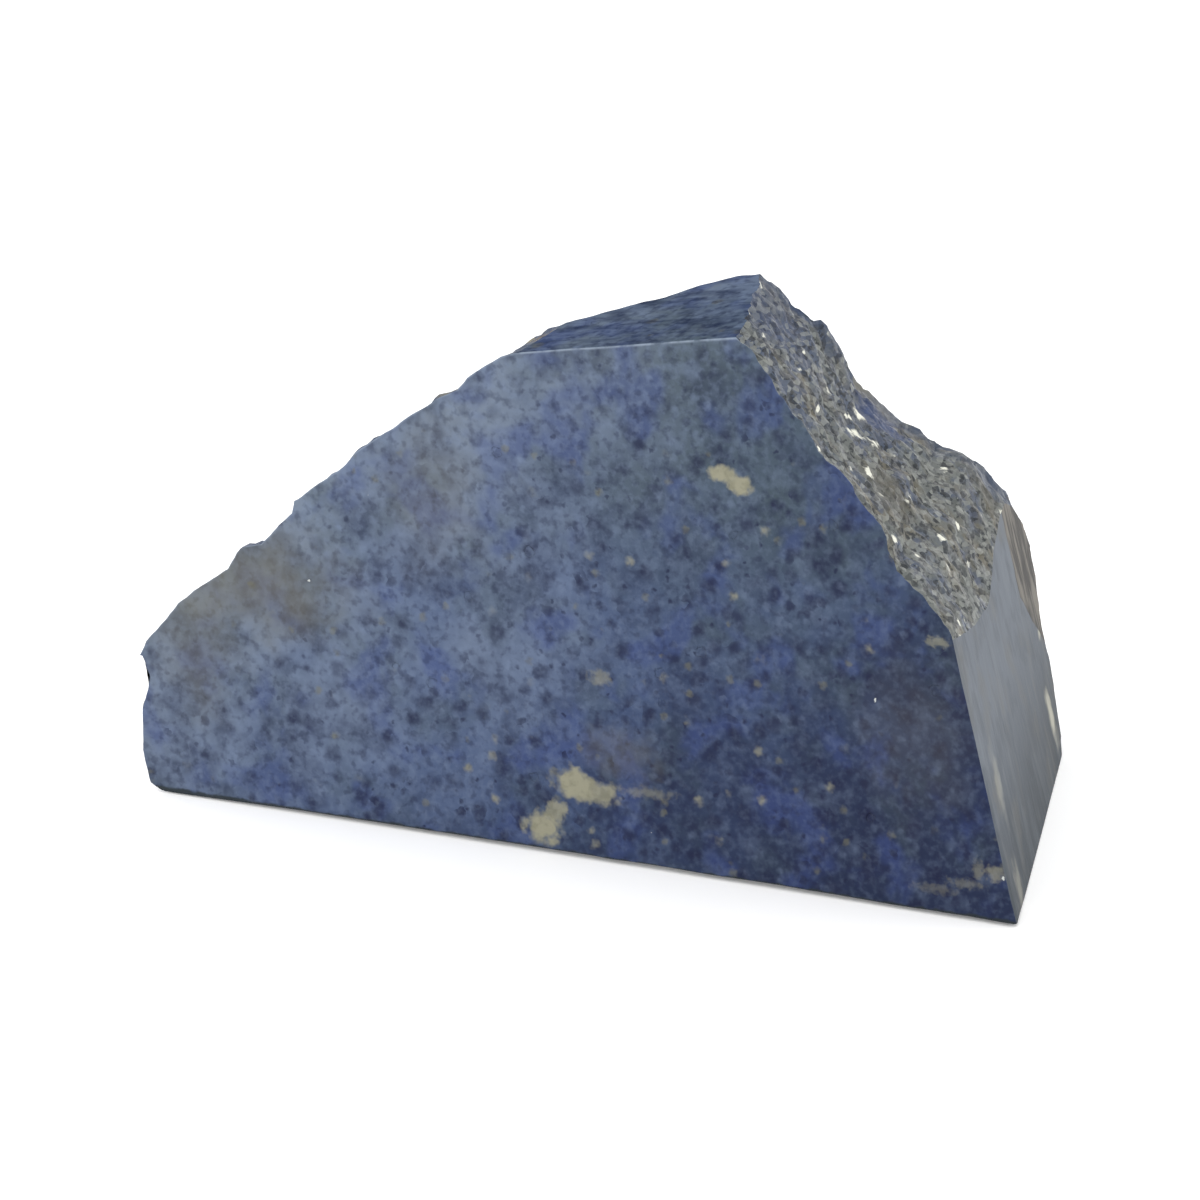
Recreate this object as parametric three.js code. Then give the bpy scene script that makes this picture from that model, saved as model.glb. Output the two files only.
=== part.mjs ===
// Rough dumortierite: one wedge of massive blue stone, left over from sawing a bigger piece.
// It is sawn flat in front, underneath, on its right end and on a small facet on top. The long
// slope on the left, the ridge on the right and the whole back are broken or natural rough stone.
//
// The shape is worked out in stone coordinates, in millimetres: x = 0 at the right end of the
// sawn front and negative to the left, y = 0 on the front and growing into the stone, z = 0 on
// the base. At the end the mesh is moved so that the origin is in the middle of the stone's
// bounding box, on the surface that it rests on.
//
// The stone is a box bent to shape. Stations run along its length, from the rough left end to
// the sawn right end. At each station the section has four corners: front foot, front top, back
// top and back foot, and each of these four corners follows its own track along the length.

import * as THREE from 'three';

const { lerp, smoothstep } = THREE.MathUtils;

// Sawn right end: how far x moves for each millimetre of y and of z. It leans in and to the left.
const END_X_PER_Y = -0.305;
const END_X_PER_Z = -0.253;
const END_HEIGHT = 28.3;

// Sawn facet on top: its left tip on the front face, and its rise to the right and to the back.
const FACET_TIP_X = -53.3;
const FACET_TIP_Z = 51.4;
const FACET_Z_PER_X = 0.188;
const FACET_Z_PER_Y = 0.1;
const FACET_RIGHT_X = -29.8;

// Front face, as x and z: its rough left edge from the foot up to the nose, then the ledges of
// the long slope from the nose up to the facet's tip.
const LEFT_EDGE = [
  [-93.5, 0], [-95, 0.7], [-95.8, 4.2], [-95.7, 8.2], [-94.9, 12.2], [-95.9, 14.3],
];
const SLOPE_EDGE = [
  [-95.9, 14.3], [-94.5, 16.8], [-92.7, 18.7], [-91.4, 20.5], [-89.1, 22.4], [-85.6, 24.8],
  [-84.6, 26.6], [-83.9, 27.3], [-81.8, 27.8], [-79.7, 30.1], [-78.3, 31.6], [-78, 32.9],
  [-76.2, 34.6], [-73.1, 36.9], [-71.4, 38.8], [-68.3, 41.1], [-65.3, 43.2], [-62.3, 45.2],
  [-59.9, 46.7], [-58.9, 48.1], [-57.2, 49.4], [-55.2, 50.7], [FACET_TIP_X, FACET_TIP_Z],
];
// The front edge of the broken ridge, from the facet down to the sawn end.
const RIDGE_EDGE = [
  [FACET_RIGHT_X, facetZ(FACET_RIGHT_X, 0)], [-27.3, 53.3], [-24.8, 49.7], [-23.2, 48.2],
  [-20.2, 44.2], [-18, 42.1], [-16.2, 40], [-14.5, 37.6], [-13.2, 34.4], [-10.3, 32.5],
  [-7.7, 29.4], [END_X_PER_Z * END_HEIGHT, END_HEIGHT],
];

// Back top edge, as x, y and z: behind the slope, round the facet, then down the ridge's crest.
const SLOPE_BACK = [
  [-92.2, 7.5, 12], [-86, 9.5, 19.5], [-79, 10.5, 26], [-70, 11, 34.5], [-61, 10.5, 43],
  [-51.7, 7.7, facetZ(-51.7, 7.7)],
];
const FACET_BACK = [[-51.7, 7.7], [-48.6, 10.1], [-45.1, 12.9], [-41.8, 16.6], [-38.2, 18.7], [-36, 19]];
const CREST = [
  [-36, 19, facetZ(-36, 19)], [-35.3, 21.8, 54.3], [-34.5, 25, 51.7], [-33.6, 27, 50.5],
  [-33.3, 30.3, 47], [-32.3, 35.9, 40.8], [-30.4, 39.5, 37.4], [-28.2, 42.4, 34.8],
  [-27.3, 43.6, 33.2], [-24.7, 45.6, 32.3], [-23.5, 46.7, 30.4], [endX(48, 26.6), 48, 26.6],
];

// Back foot, as x and y on the base, for the same three stretches of the length.
const SLOPE_FOOT = [[-88.5, 7], [-82, 14.5], [-74, 19], [-66, 26]];
const FACET_FOOT = [[-66, 26], [-57, 32.5], [-50, 36]];
const RIDGE_FOOT = [[-50, 36], [-38, 45], [-29, 51], [-20.5, 51.5], [endX(47, 0), 47]];
// Where the front foot is at the left end, at the facet's two ends and at the right end.
const FRONT_FOOT_X = [LEFT_EDGE[0][0], -55, -33, 0];

// Sawn end: how its top edge dips below a straight line, and how its back edge swells behind
// one, each as [share of the way along, millimetres].
const END_TOP_DIP = [[0, 0], [0.3, -2.7], [0.51, -3.7], [0.65, -2.1], [0.72, -1], [0.9, 0.2], [1, 0]];
const END_BACK_SWELL = [
  [0, 0], [0.05, 4], [0.24, 6.2], [0.4, 7.6], [0.5, 9.4], [0.6, 10.6], [0.72, 10.9], [0.83, 8.8],
  [0.93, 4.5], [1, 0],
];
// Behind the cut the stone turns away from the cut's plane: how far, over the whole ridge, and
// from what share of the ridge on the back takes the outline of the cut.
const END_TURN = 13;
const END_REACH = 0.75;
// From what share of the ridge on its top takes the dip of the cut's top edge.
const DIP_REACH = 0.7;

// The back swells out from the straight line between its foot and its top: how far, at the left
// end, at the facet's two ends and at the right end, and in which direction. A power under 1
// puts the fullest part below half of the height.
const BACK_SWELL = [1.5, 5.5, 7, 9.5];
const SWELL_LEFT = new THREE.Vector3(-0.5, 0.82, 0.28);
const SWELL_RIGHT = new THREE.Vector3(-0.05, 0.95, 0.3);
const SWELL_POWER = 0.8;

// Broken stone parts along small flat faces. Two sizes of them: the width of a face, the step
// from one to the next, and the tilt. The first gives the lumps and ledges, the second chips.
const LUMPS = { width: 14, step: 1.3, tilt: 0.2, seed: 23 };
const CHIPS = { width: 5.5, step: 0.45, tilt: 0.16, seed: 47 };
// How far the middle of a face strays from the middle of its cell, and how wide the border
// between two faces is, both as a share of the width.
const FACE_STRAY = 0.4;
const FACE_BORDER = 0.12;
// The lumps fade out this near to a sawn face, which stays flat.
const SAWN_MARGIN = 3;

// Hubs of the sawn sides: x and z in front, x and y on the base and the facet, y and z on the end.
const FRONT_HUB = [-48, 22];
const BASE_HUB = [-50, 10];
const FACET_HUB = [-40, 7];
const END_HUB = [24, 12];

// Size of the facets: the longest step along the outline, and the steps across and up.
const STATION_STEP = 2.1;
const CELLS_ACROSS = 20;
const CELLS_UP = 26;

const STONE_BLUE = 0x58667f;

// Height of the sawn facet's plane.
function facetZ(x, y) {
  return FACET_TIP_Z + FACET_Z_PER_X * (x - FACET_TIP_X) + FACET_Z_PER_Y * y;
}

// Place of the sawn end's plane.
function endX(y, z) {
  return END_X_PER_Y * y + END_X_PER_Z * z;
}

// A broken line through points, as a function of the share of its length.
function alongLine(points) {
  const reached = [0];
  for (let n = 1; n < points.length; n += 1) {
    reached.push(reached[n - 1] + points[n].distanceTo(points[n - 1]));
  }
  const total = reached[reached.length - 1];
  return (share) => {
    const want = THREE.MathUtils.clamp(share, 0, 1) * total;
    let n = 1;
    while (n < points.length - 1 && reached[n] < want) n += 1;
    const part = (want - reached[n - 1]) / (reached[n] - reached[n - 1]);
    return new THREE.Vector3().lerpVectors(points[n - 1], points[n], part);
  };
}

// The value of a list of [place, value] pairs at a place, straight between them.
function listValue(list, place) {
  let n = 1;
  while (n < list.length - 1 && list[n][0] < place) n += 1;
  const [start, startValue] = list[n - 1];
  const [stop, stopValue] = list[n];
  return lerp(startValue, stopValue, THREE.MathUtils.clamp((place - start) / (stop - start), 0, 1));
}

const onFront = ([x, z]) => new THREE.Vector3(x, 0, z);
const onBase = ([x, y]) => new THREE.Vector3(x, y, 0);
const onFacet = ([x, y]) => new THREE.Vector3(x, y, facetZ(x, y));
const onEnd = ([y, z]) => new THREE.Vector3(endX(y, z), y, z);
const inSpace = ([x, y, z]) => new THREE.Vector3(x, y, z);

// The length has three stretches: the long slope, the facet and the ridge. Each has a front top
// edge, whose points the stations follow, a back top edge and a back foot.
const STRETCHES = [
  { front: SLOPE_EDGE.map(onFront), top: SLOPE_BACK.map(inSpace), foot: SLOPE_FOOT.map(onBase) },
  {
    front: [SLOPE_EDGE[SLOPE_EDGE.length - 1], RIDGE_EDGE[0]].map(onFront),
    top: FACET_BACK.map(onFacet),
    foot: FACET_FOOT.map(onBase),
  },
  { front: RIDGE_EDGE.map(onFront), top: CREST.map(inSpace), foot: RIDGE_FOOT.map(onBase) },
];
const FACET = 1;
const RIDGE = 2;

// The stations: at every point of the front edge, with more between points that are far apart.
function makeStations() {
  const stations = [];
  STRETCHES.forEach((stretch, number) => {
    const backTop = alongLine(stretch.top);
    const backFoot = alongLine(stretch.foot);
    const lengths = stretch.front.slice(1).map((point, n) => point.distanceTo(stretch.front[n]));
    const total = lengths.reduce((sum, length) => sum + length, 0);
    let reached = 0;
    lengths.forEach((length, n) => {
      const steps = Math.ceil(length / STATION_STEP);
      for (let step = 0; step < steps; step += 1) {
        const share = (reached + (length * step) / steps) / total;
        stations.push(makeStation(stretch, number, share, n, step / steps, backTop, backFoot));
      }
      reached += length;
    });
  });
  const last = STRETCHES[RIDGE];
  const ends = [alongLine(last.top), alongLine(last.foot)];
  stations.push(makeStation(last, RIDGE, 1, last.front.length - 2, 1, ...ends));
  return stations;
}

function makeStation(stretch, number, share, segment, part, backTop, backFoot) {
  const [start, stop] = stretch.front.slice(segment, segment + 2);
  return {
    stretch: number,
    frontFoot: new THREE.Vector3(lerp(FRONT_FOOT_X[number], FRONT_FOOT_X[number + 1], share), 0, 0),
    frontTop: new THREE.Vector3().lerpVectors(start, stop, part),
    backTop: backTop(share),
    backFoot: backFoot(share),
    swell: lerp(BACK_SWELL[number], BACK_SWELL[number + 1], share),
    toRight: number === RIDGE ? share : 0,
  };
}

const stations = makeStations();
const LAST_STATION = stations.length - 1;
const leftEdge = alongLine(LEFT_EDGE.map(onFront));

// The front side of a section, at a share of its height.
function frontPoint(station, up) {
  if (station === stations[0]) return leftEdge(up);
  return new THREE.Vector3().lerpVectors(station.frontFoot, station.frontTop, up);
}

// The back side of a section: a straight line from foot to top, swollen outwards. At the sawn end
// it takes the outline of the cut instead, and it stays behind the cut's plane.
function backPoint(station, up) {
  const point = new THREE.Vector3().lerpVectors(station.backFoot, station.backTop, up);
  const direction = new THREE.Vector3().lerpVectors(SWELL_LEFT, SWELL_RIGHT, station.toRight);
  const atCut = smoothstep(station.toRight, END_REACH, 1);
  const swell = station.swell * Math.sin(Math.PI * Math.pow(up, SWELL_POWER)) * (1 - atCut);
  point.addScaledVector(direction.normalize(), swell);
  point.y += listValue(END_BACK_SWELL, up) * atCut;
  point.x = Math.min(point.x, endX(point.y, point.z) - END_TURN * (1 - station.toRight));
  return point;
}

// A point of the bent box before it is roughened: station number, share across, share up. The
// top edge dips along the plane of the cut.
function bentBoxPoint(number, across, up) {
  const station = stations[number];
  const point = frontPoint(station, up).lerp(backPoint(station, up), across);
  const atDip = smoothstep(station.toRight, DIP_REACH, 1);
  if (up === 1) {
    const drop = listValue(END_TOP_DIP, across) * atDip;
    point.z += drop;
    point.x += END_X_PER_Z * drop;
  }
  return point;
}

// A repeatable number from -1 to 1 for a cell of space.
function cellNumber(cell, seed) {
  let mixed = Math.imul(cell[0], 374761393) ^ Math.imul(cell[1], 668265263);
  mixed ^= Math.imul(cell[2], 1440662683) ^ Math.imul(seed, 974634777);
  mixed = Math.imul(mixed ^ (mixed >>> 15), 1274126177);
  mixed = Math.imul(mixed ^ (mixed >>> 13), 461845907);
  mixed ^= mixed >>> 16;
  return (mixed >>> 0) / 2147483647.5 - 1;
}

// Height of the small broken face that a point lies on: each cell of space has a middle, a step
// and a tilt of its own, and near the border of two cells the one runs into the other.
function brokenFaces(point, { width, step, tilt, seed }) {
  const home = point.toArray().map((value) => Math.floor(value / width));
  const found = [];
  for (let n = 0; n < 27; n += 1) {
    const neighbour = [n % 3, Math.floor(n / 3) % 3, Math.floor(n / 9)];
    const cell = home.map((value, axis) => value + neighbour[axis] - 1);
    const away = point.toArray().map((value, axis) => (
      value - width * (cell[axis] + 0.5 + FACE_STRAY * cellNumber(cell, seed + axis))
    ));
    const slopes = away.map((value, axis) => value * cellNumber(cell, seed + 3 + axis));
    const rise = tilt * (slopes[0] + slopes[1] + slopes[2]);
    found.push({
      distance: Math.hypot(...away),
      height: rise + step * cellNumber(cell, seed + 6),
    });
  }
  const nearest = Math.min(...found.map((face) => face.distance));
  let weights = 0;
  let height = 0;
  for (const face of found) {
    const weight = Math.exp(-(face.distance - nearest) / (FACE_BORDER * width));
    weights += weight;
    height += weight * face.height;
  }
  return height / weights;
}

// How rough the stone is at the front edge and at the back edge of its top, on each stretch, and
// from what share of the height on the back takes the roughness of that back edge.
const FRONT_EDGE_ROUGHNESS = [0.12, 0, 0.12];
const BACK_EDGE_ROUGHNESS = [1, 0.8, 0.4];
const BACK_EDGE_START = 0.8;
// How rough it is at the thin left end and at the facet, and how far away it gets fully rough.
const LEFT_END_ROUGHNESS = 0.3;
const LEFT_END_REACH = 14;
const FACET_ROUGHNESS = 0.4;
const FACET_REACH = 4;

function roughness(number, across, up, point) {
  const { stretch, frontTop } = stations[number];
  const fromLeft = smoothstep(frontTop.x - stations[0].frontTop.x, 0, LEFT_END_REACH);
  const fromFacet = smoothstep(facetZ(point.x, point.y) - point.z, 0, FACET_REACH);
  const full = lerp(LEFT_END_ROUGHNESS, 1, fromLeft) * lerp(FACET_ROUGHNESS, 1, fromFacet);
  const atBackEdge = BACK_EDGE_ROUGHNESS[stretch];
  if (up === 1) return full * lerp(FRONT_EDGE_ROUGHNESS[stretch], atBackEdge, across);
  return full * lerp(1, atBackEdge, smoothstep(up, BACK_EDGE_START, 1));
}

// The sawn planes: the outward normal and a point that the plane goes through.
const CORNER = new THREE.Vector3(0, 0, 0);
const SAWN = {
  front: { normal: new THREE.Vector3(0, -1, 0), through: CORNER },
  base: { normal: new THREE.Vector3(0, 0, -1), through: CORNER },
  end: { normal: new THREE.Vector3(1, -END_X_PER_Y, -END_X_PER_Z).normalize(), through: CORNER },
  facet: {
    normal: new THREE.Vector3(-FACET_Z_PER_X, -FACET_Z_PER_Y, 1).normalize(),
    through: new THREE.Vector3(FACET_TIP_X, 0, FACET_TIP_Z),
  },
};

// Takes out of a shift whatever would lift the stone off, or sink it into, a sawn face nearby.
function keepSawnFacesFlat(point, shift) {
  for (const { normal, through } of Object.values(SAWN)) {
    const distance = Math.abs(normal.dot(point) - normal.dot(through));
    const freedom = smoothstep(distance, 0, SAWN_MARGIN);
    shift.addScaledVector(normal, -normal.dot(shift) * (1 - freedom));
  }
}

// The vertices are the outer points of the bent box's lattice, each made once.
const vertices = [];
const places = [];
const numberOf = new Map();

function vertex(number, j, k) {
  const key = [number, j, k].join();
  if (!numberOf.has(key)) {
    numberOf.set(key, vertices.length);
    vertices.push(bentBoxPoint(number, j / CELLS_ACROSS, k / CELLS_UP));
    places.push({ number, j, k });
  }
  return numberOf.get(key);
}

const triangles = [];
const roughTriangles = [];

// A rough side: a grid of square cells, each cut in two.
function roughSide(rows, columns, at) {
  for (let row = 0; row < rows; row += 1) {
    for (let column = 0; column < columns; column += 1) {
      const a = at(row, column);
      const b = at(row + 1, column);
      const c = at(row + 1, column + 1);
      const d = at(row, column + 1);
      roughTriangles.push([a, b, c], [a, c, d]);
    }
  }
}

const facetStart = stations.findIndex((station) => station.stretch === FACET);
const ridgeStart = stations.findIndex((station) => station.stretch === RIDGE);
const J = CELLS_ACROSS;
const K = CELLS_UP;

roughSide(LAST_STATION, K, (row, column) => vertex(row, J, K - column));
roughSide(facetStart, J, (row, column) => vertex(row, column, K));
roughSide(LAST_STATION - ridgeStart, J, (row, column) => vertex(ridgeStart + row, column, K));
roughSide(K, J, (row, column) => vertex(0, column, row));

// The near foot corner is the one corner where only sawn sides meet.
vertex(LAST_STATION, 0, 0);

// The loop of vertices round a side of the lattice: out along one row, up, back and down. A
// straight edge between two sawn sides needs no vertices but its ends, so only those that a
// rough side already has are taken.
function loopRound(rows, columns, at) {
  const loop = [];
  for (let row = 0; row < rows; row += 1) loop.push(at(row, 0));
  for (let column = 0; column < columns; column += 1) loop.push(at(rows, column));
  for (let row = rows; row > 0; row -= 1) loop.push(at(row, columns));
  for (let column = columns; column > 0; column -= 1) loop.push(at(0, column));
  return loop.map((place) => numberOf.get(place.join())).filter((index) => index !== undefined);
}

// Each sawn side: its loop, and a hub on it that sees every edge of the loop.
const sawnSides = [
  {
    loop: loopRound(LAST_STATION, K, (row, column) => [row, 0, column]),
    hub: onFront(FRONT_HUB),
    normal: SAWN.front.normal,
  },
  {
    loop: loopRound(LAST_STATION, J, (row, column) => [row, column, 0]),
    hub: onBase(BASE_HUB),
    normal: SAWN.base.normal,
  },
  {
    loop: loopRound(J, K, (row, column) => [LAST_STATION, row, column]),
    hub: onEnd(END_HUB),
    normal: SAWN.end.normal,
  },
  {
    loop: loopRound(ridgeStart - facetStart, J, (row, column) => [facetStart + row, column, K]),
    hub: onFacet(FACET_HUB),
    normal: SAWN.facet.normal,
  },
];

// Outward normals of the rough sides at their vertices.
const outward = vertices.map(() => new THREE.Vector3());
for (const [a, b, c] of roughTriangles) {
  const edge1 = new THREE.Vector3().subVectors(vertices[b], vertices[a]);
  const edge2 = new THREE.Vector3().subVectors(vertices[c], vertices[a]);
  const normal = edge1.cross(edge2);
  for (const corner of [a, b, c]) outward[corner].add(normal);
}

// The rough vertices move out or in by the height of the broken faces they lie on.
const roughened = vertices.map((point, index) => {
  const { number, j, k } = places[index];
  const amount = roughness(number, j / J, k / K, point);
  const height = brokenFaces(point, LUMPS) + brokenFaces(point, CHIPS);
  const shift = outward[index].clone().normalize().multiplyScalar(amount * height);
  keepSawnFacesFlat(point, shift);
  const moved = point.clone().add(shift);
  if (j === 0) moved.y = 0;
  if (k === 0) moved.z = 0;
  if (k === K && number >= facetStart && number <= ridgeStart) moved.z = facetZ(moved.x, moved.y);
  if (number === LAST_STATION) moved.x = endX(moved.y, moved.z);
  return moved;
});

// A sawn side is a fan of flat triangles from its hub to its loop of vertices.
for (const { loop, hub, normal } of sawnSides) {
  const middle = roughened.push(hub) - 1;
  loop.forEach((index, n) => {
    const next = loop[(n + 1) % loop.length];
    const spoke = new THREE.Vector3().subVectors(roughened[index], roughened[middle]);
    const nextSpoke = new THREE.Vector3().subVectors(roughened[next], roughened[middle]);
    const outwards = spoke.cross(nextSpoke).dot(normal) > 0;
    triangles.push(outwards ? [middle, index, next] : [middle, next, index]);
  });
}
triangles.push(...roughTriangles);

const geometry = new THREE.BufferGeometry();
const coordinates = roughened.flatMap((point) => point.toArray());
geometry.setAttribute('position', new THREE.Float32BufferAttribute(coordinates, 3));
geometry.setIndex(triangles.flat());
geometry.computeBoundingBox();
const middle = geometry.boundingBox.getCenter(new THREE.Vector3());
geometry.translate(-middle.x, -middle.y, 0);
geometry.computeVertexNormals();

const finish = new THREE.MeshStandardMaterial({
  color: STONE_BLUE,
  roughness: 0.55,
  metalness: 0,
  flatShading: true,
});
const stone = new THREE.Mesh(geometry, finish);
stone.name = 'dumortierite_stone';

const part = new THREE.Group();
part.add(stone);

export default part;
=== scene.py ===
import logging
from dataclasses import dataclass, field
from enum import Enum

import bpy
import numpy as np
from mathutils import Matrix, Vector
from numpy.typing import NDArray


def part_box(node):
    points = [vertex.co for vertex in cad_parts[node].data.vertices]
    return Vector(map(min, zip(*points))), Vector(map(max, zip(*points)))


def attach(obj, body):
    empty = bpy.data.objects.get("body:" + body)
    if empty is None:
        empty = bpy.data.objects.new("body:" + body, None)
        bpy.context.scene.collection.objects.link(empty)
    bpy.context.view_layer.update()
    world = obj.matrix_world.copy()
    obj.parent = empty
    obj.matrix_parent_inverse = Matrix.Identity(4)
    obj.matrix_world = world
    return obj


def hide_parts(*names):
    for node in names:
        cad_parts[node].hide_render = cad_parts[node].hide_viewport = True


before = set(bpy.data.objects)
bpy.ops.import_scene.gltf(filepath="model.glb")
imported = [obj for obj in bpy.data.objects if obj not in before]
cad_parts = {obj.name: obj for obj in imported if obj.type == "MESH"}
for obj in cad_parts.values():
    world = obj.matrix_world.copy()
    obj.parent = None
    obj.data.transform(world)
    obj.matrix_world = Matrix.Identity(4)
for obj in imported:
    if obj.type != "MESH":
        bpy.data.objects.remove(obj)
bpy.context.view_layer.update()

# Rough dumortierite: one wedge of massive blue stone, its finishes, and the floor, light and
# camera that show it.
#
# The stone is sawn flat in front, underneath, on its right end and on a small facet on top. The
# slope on the left, the ridge on the right and the whole back are broken or natural rough stone.
#
# Shapes and patterns are worked out in stone coordinates, in millimetres: x = 0 at the right end
# of the sawn front and negative to the left, y = 0 on the front and growing into the stone,
# z = 0 on the base. The last step moves the mesh into the frame of the part, in metres.

log = logging.getLogger("dumortierite")

Array = NDArray[np.float64]
Indices = NDArray[np.int64]
Triple = tuple[float, float, float]
Pair = tuple[float, float]

NODE = "dumortierite_stone"
MM = 0.001

# Odd numbers and shifts that mix the counts of a cell of space, and a seed, in 32 bits.
COUNT_FACTORS = np.array([374761393, 668265263, 1440662683], np.uint32)
SEED_FACTOR = 974634777
MIXES = ((15, 1274126177), (13, 461845907))
LAST_SHIFT = 16
WORD = 2**32


def smooth_share(value: Array, start: float, stop: float) -> Array:
    """Share of the way from start to stop, eased at both ends: 3 s squared less 2 s cubed.

    Args:
        value: Where each point is.
        start: Where the share is 0.
        stop: Where the share is 1.

    Returns:
        The share at each point, from 0 to 1.
    """
    share = np.clip((value - start) / (stop - start), 0.0, 1.0)
    return share * share * (3.0 - 2.0 * share)


def between(start: Array, stop: Array, share: Array) -> Array:
    """The value at a share of the way from start to stop, for numbers or rows of points."""
    return start + (stop - start) * share


def along_line(points: Array, shares: Array) -> Array:
    """Points at shares of the length of a broken line: each coordinate runs straight by length.

    Args:
        points: The corners of the line, one row each.
        shares: Shares of the whole length, from 0 to 1.

    Returns:
        One row for each share.
    """
    steps = np.linalg.norm(np.diff(points, axis=0), axis=1)
    reached = np.concatenate([[0.0], np.cumsum(steps)]) / steps.sum()
    return np.stack([np.interp(shares, reached, axis) for axis in points.T], axis=-1)


def unit(vectors: Array) -> Array:
    """The same directions with length 1."""
    return vectors / np.maximum(np.linalg.norm(vectors, axis=-1, keepdims=True), 1e-12)


class Side(Enum):
    """The sides of the bent box that the stone is worked out as."""

    FRONT = "front"
    BASE = "base"
    END = "end"
    FACET = "facet"
    RIDGE = "ridge"
    SLOPE = "slope"
    LEFT_END = "left end"
    BACK = "back"


ROUGH_SIDES = (Side.RIDGE, Side.SLOPE, Side.LEFT_END, Side.BACK)


@dataclass(frozen=True)
class BrokenFaces:
    """One size of the small flat faces that broken stone parts along.

    Attributes:
        width: Usual width of a face, in millimetres.
        step: Largest step from one face to the next, in millimetres.
        tilt: Largest slope of a face.
        seed: Picks one of many layouts.
        stray: How far the middle of a face strays, as a share of the width.
        border: Width of the border between two faces, as a share of the width.
    """

    width: float
    step: float
    tilt: float
    seed: int
    stray: float = 0.4
    border: float = 0.12

    @staticmethod
    def cell_numbers(cells: Indices, seed: int) -> Array:
        """Repeatable numbers from -1 to 1, one for each cell of space: its counts are mixed.

        Args:
            cells: Whole-number cell counts, one row each.
            seed: Picks one of many series.

        Returns:
            One number for each row.
        """
        mixed = np.bitwise_xor.reduce(cells.astype(np.uint32) * COUNT_FACTORS, axis=-1)
        mixed ^= np.uint32(seed * SEED_FACTOR % WORD)
        for shift, factor in MIXES:
            mixed = (mixed ^ (mixed >> np.uint32(shift))) * np.uint32(factor)
        mixed ^= mixed >> np.uint32(LAST_SHIFT)
        return mixed / ((WORD - 1) / 2) - 1.0

    def heights(self, points: Array) -> Array:
        """Height of the small face under each point.

        Each cell of space has a middle, a step and a tilt of its own. The nearest middle wins,
        and near the border of two cells the one face runs into the other.

        Args:
            points: Places in stone coordinates, one row each.

        Returns:
            One height in millimetres for each point.
        """
        home = np.floor(points / self.width).astype(np.int64)
        distances, heights = [], []
        for offset in np.ndindex(3, 3, 3):
            cell = home + np.array(offset) - 1
            stray = [self.cell_numbers(cell, self.seed + axis) for axis in range(3)]
            away = points - self.width * (cell + 0.5 + self.stray * np.stack(stray, axis=-1))
            tilts = [self.cell_numbers(cell, self.seed + 3 + axis) for axis in range(3)]
            rise = self.tilt * np.sum(away * np.stack(tilts, axis=-1), axis=-1)
            distances.append(np.linalg.norm(away, axis=-1))
            heights.append(rise + self.step * self.cell_numbers(cell, self.seed + 6))
        nearness = np.min(distances, axis=0) - np.array(distances)
        weights = np.exp(nearness / (self.border * self.width))
        return np.sum(weights * np.array(heights), axis=0) / np.sum(weights, axis=0)


@dataclass(frozen=True)
class SawnPlane:
    """A flat cut.

    Attributes:
        outward: Outward direction of any length.
        through: A point that the plane goes through, in stone coordinates.
    """

    outward: Triple
    through: Triple = (0.0, 0.0, 0.0)

    @property
    def normal(self) -> Array:
        """The outward direction with length 1."""
        return unit(np.array(self.outward))

    def distance(self, points: Array) -> Array:
        """How far outside the plane each point is."""
        return (points - np.array(self.through)) @ self.normal

    def without_normal(self, points: Array, shift: Array, margin: float) -> Array:
        """Takes out of a shift what would lift the stone off this cut, or sink it, nearby.

        Args:
            points: Places before the shift.
            shift: The shift at each place.
            margin: Distance from the plane at which the shift is free.

        Returns:
            The shift that is left.
        """
        held = 1.0 - smooth_share(np.abs(self.distance(points)), 0.0, margin)
        return shift - np.outer(held * (shift @ self.normal), self.normal)


@dataclass(frozen=True)
class Stretch:
    """One stretch of the stone's length.

    Attributes:
        front: Front top edge.
        top: Back top edge.
        foot: Back foot.
        front_foot: Where the front foot is at the two ends of the stretch.
        swell: How far the back swells out at the two ends.
        roughness: Roughness at the front and back edges of the top.
    """

    front: Array
    top: Array
    foot: Array
    front_foot: Pair
    swell: Pair
    roughness: Pair

    def shares(self, step: float) -> Array:
        """Shares of the front edge's length: its own points, and more where they are far apart.

        Args:
            step: Longest step between two stations.

        Returns:
            Shares from 0 up to, but without, 1.
        """
        lengths = np.linalg.norm(np.diff(self.front, axis=0), axis=1)
        reached = np.concatenate([[0.0], np.cumsum(lengths)]) / lengths.sum()
        counts = np.ceil(lengths / step).astype(int)
        runs = [
            np.linspace(start, stop, count, endpoint=False)
            for start, stop, count in zip(reached[:-1], reached[1:], counts)
        ]
        return np.concatenate(runs)


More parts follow.
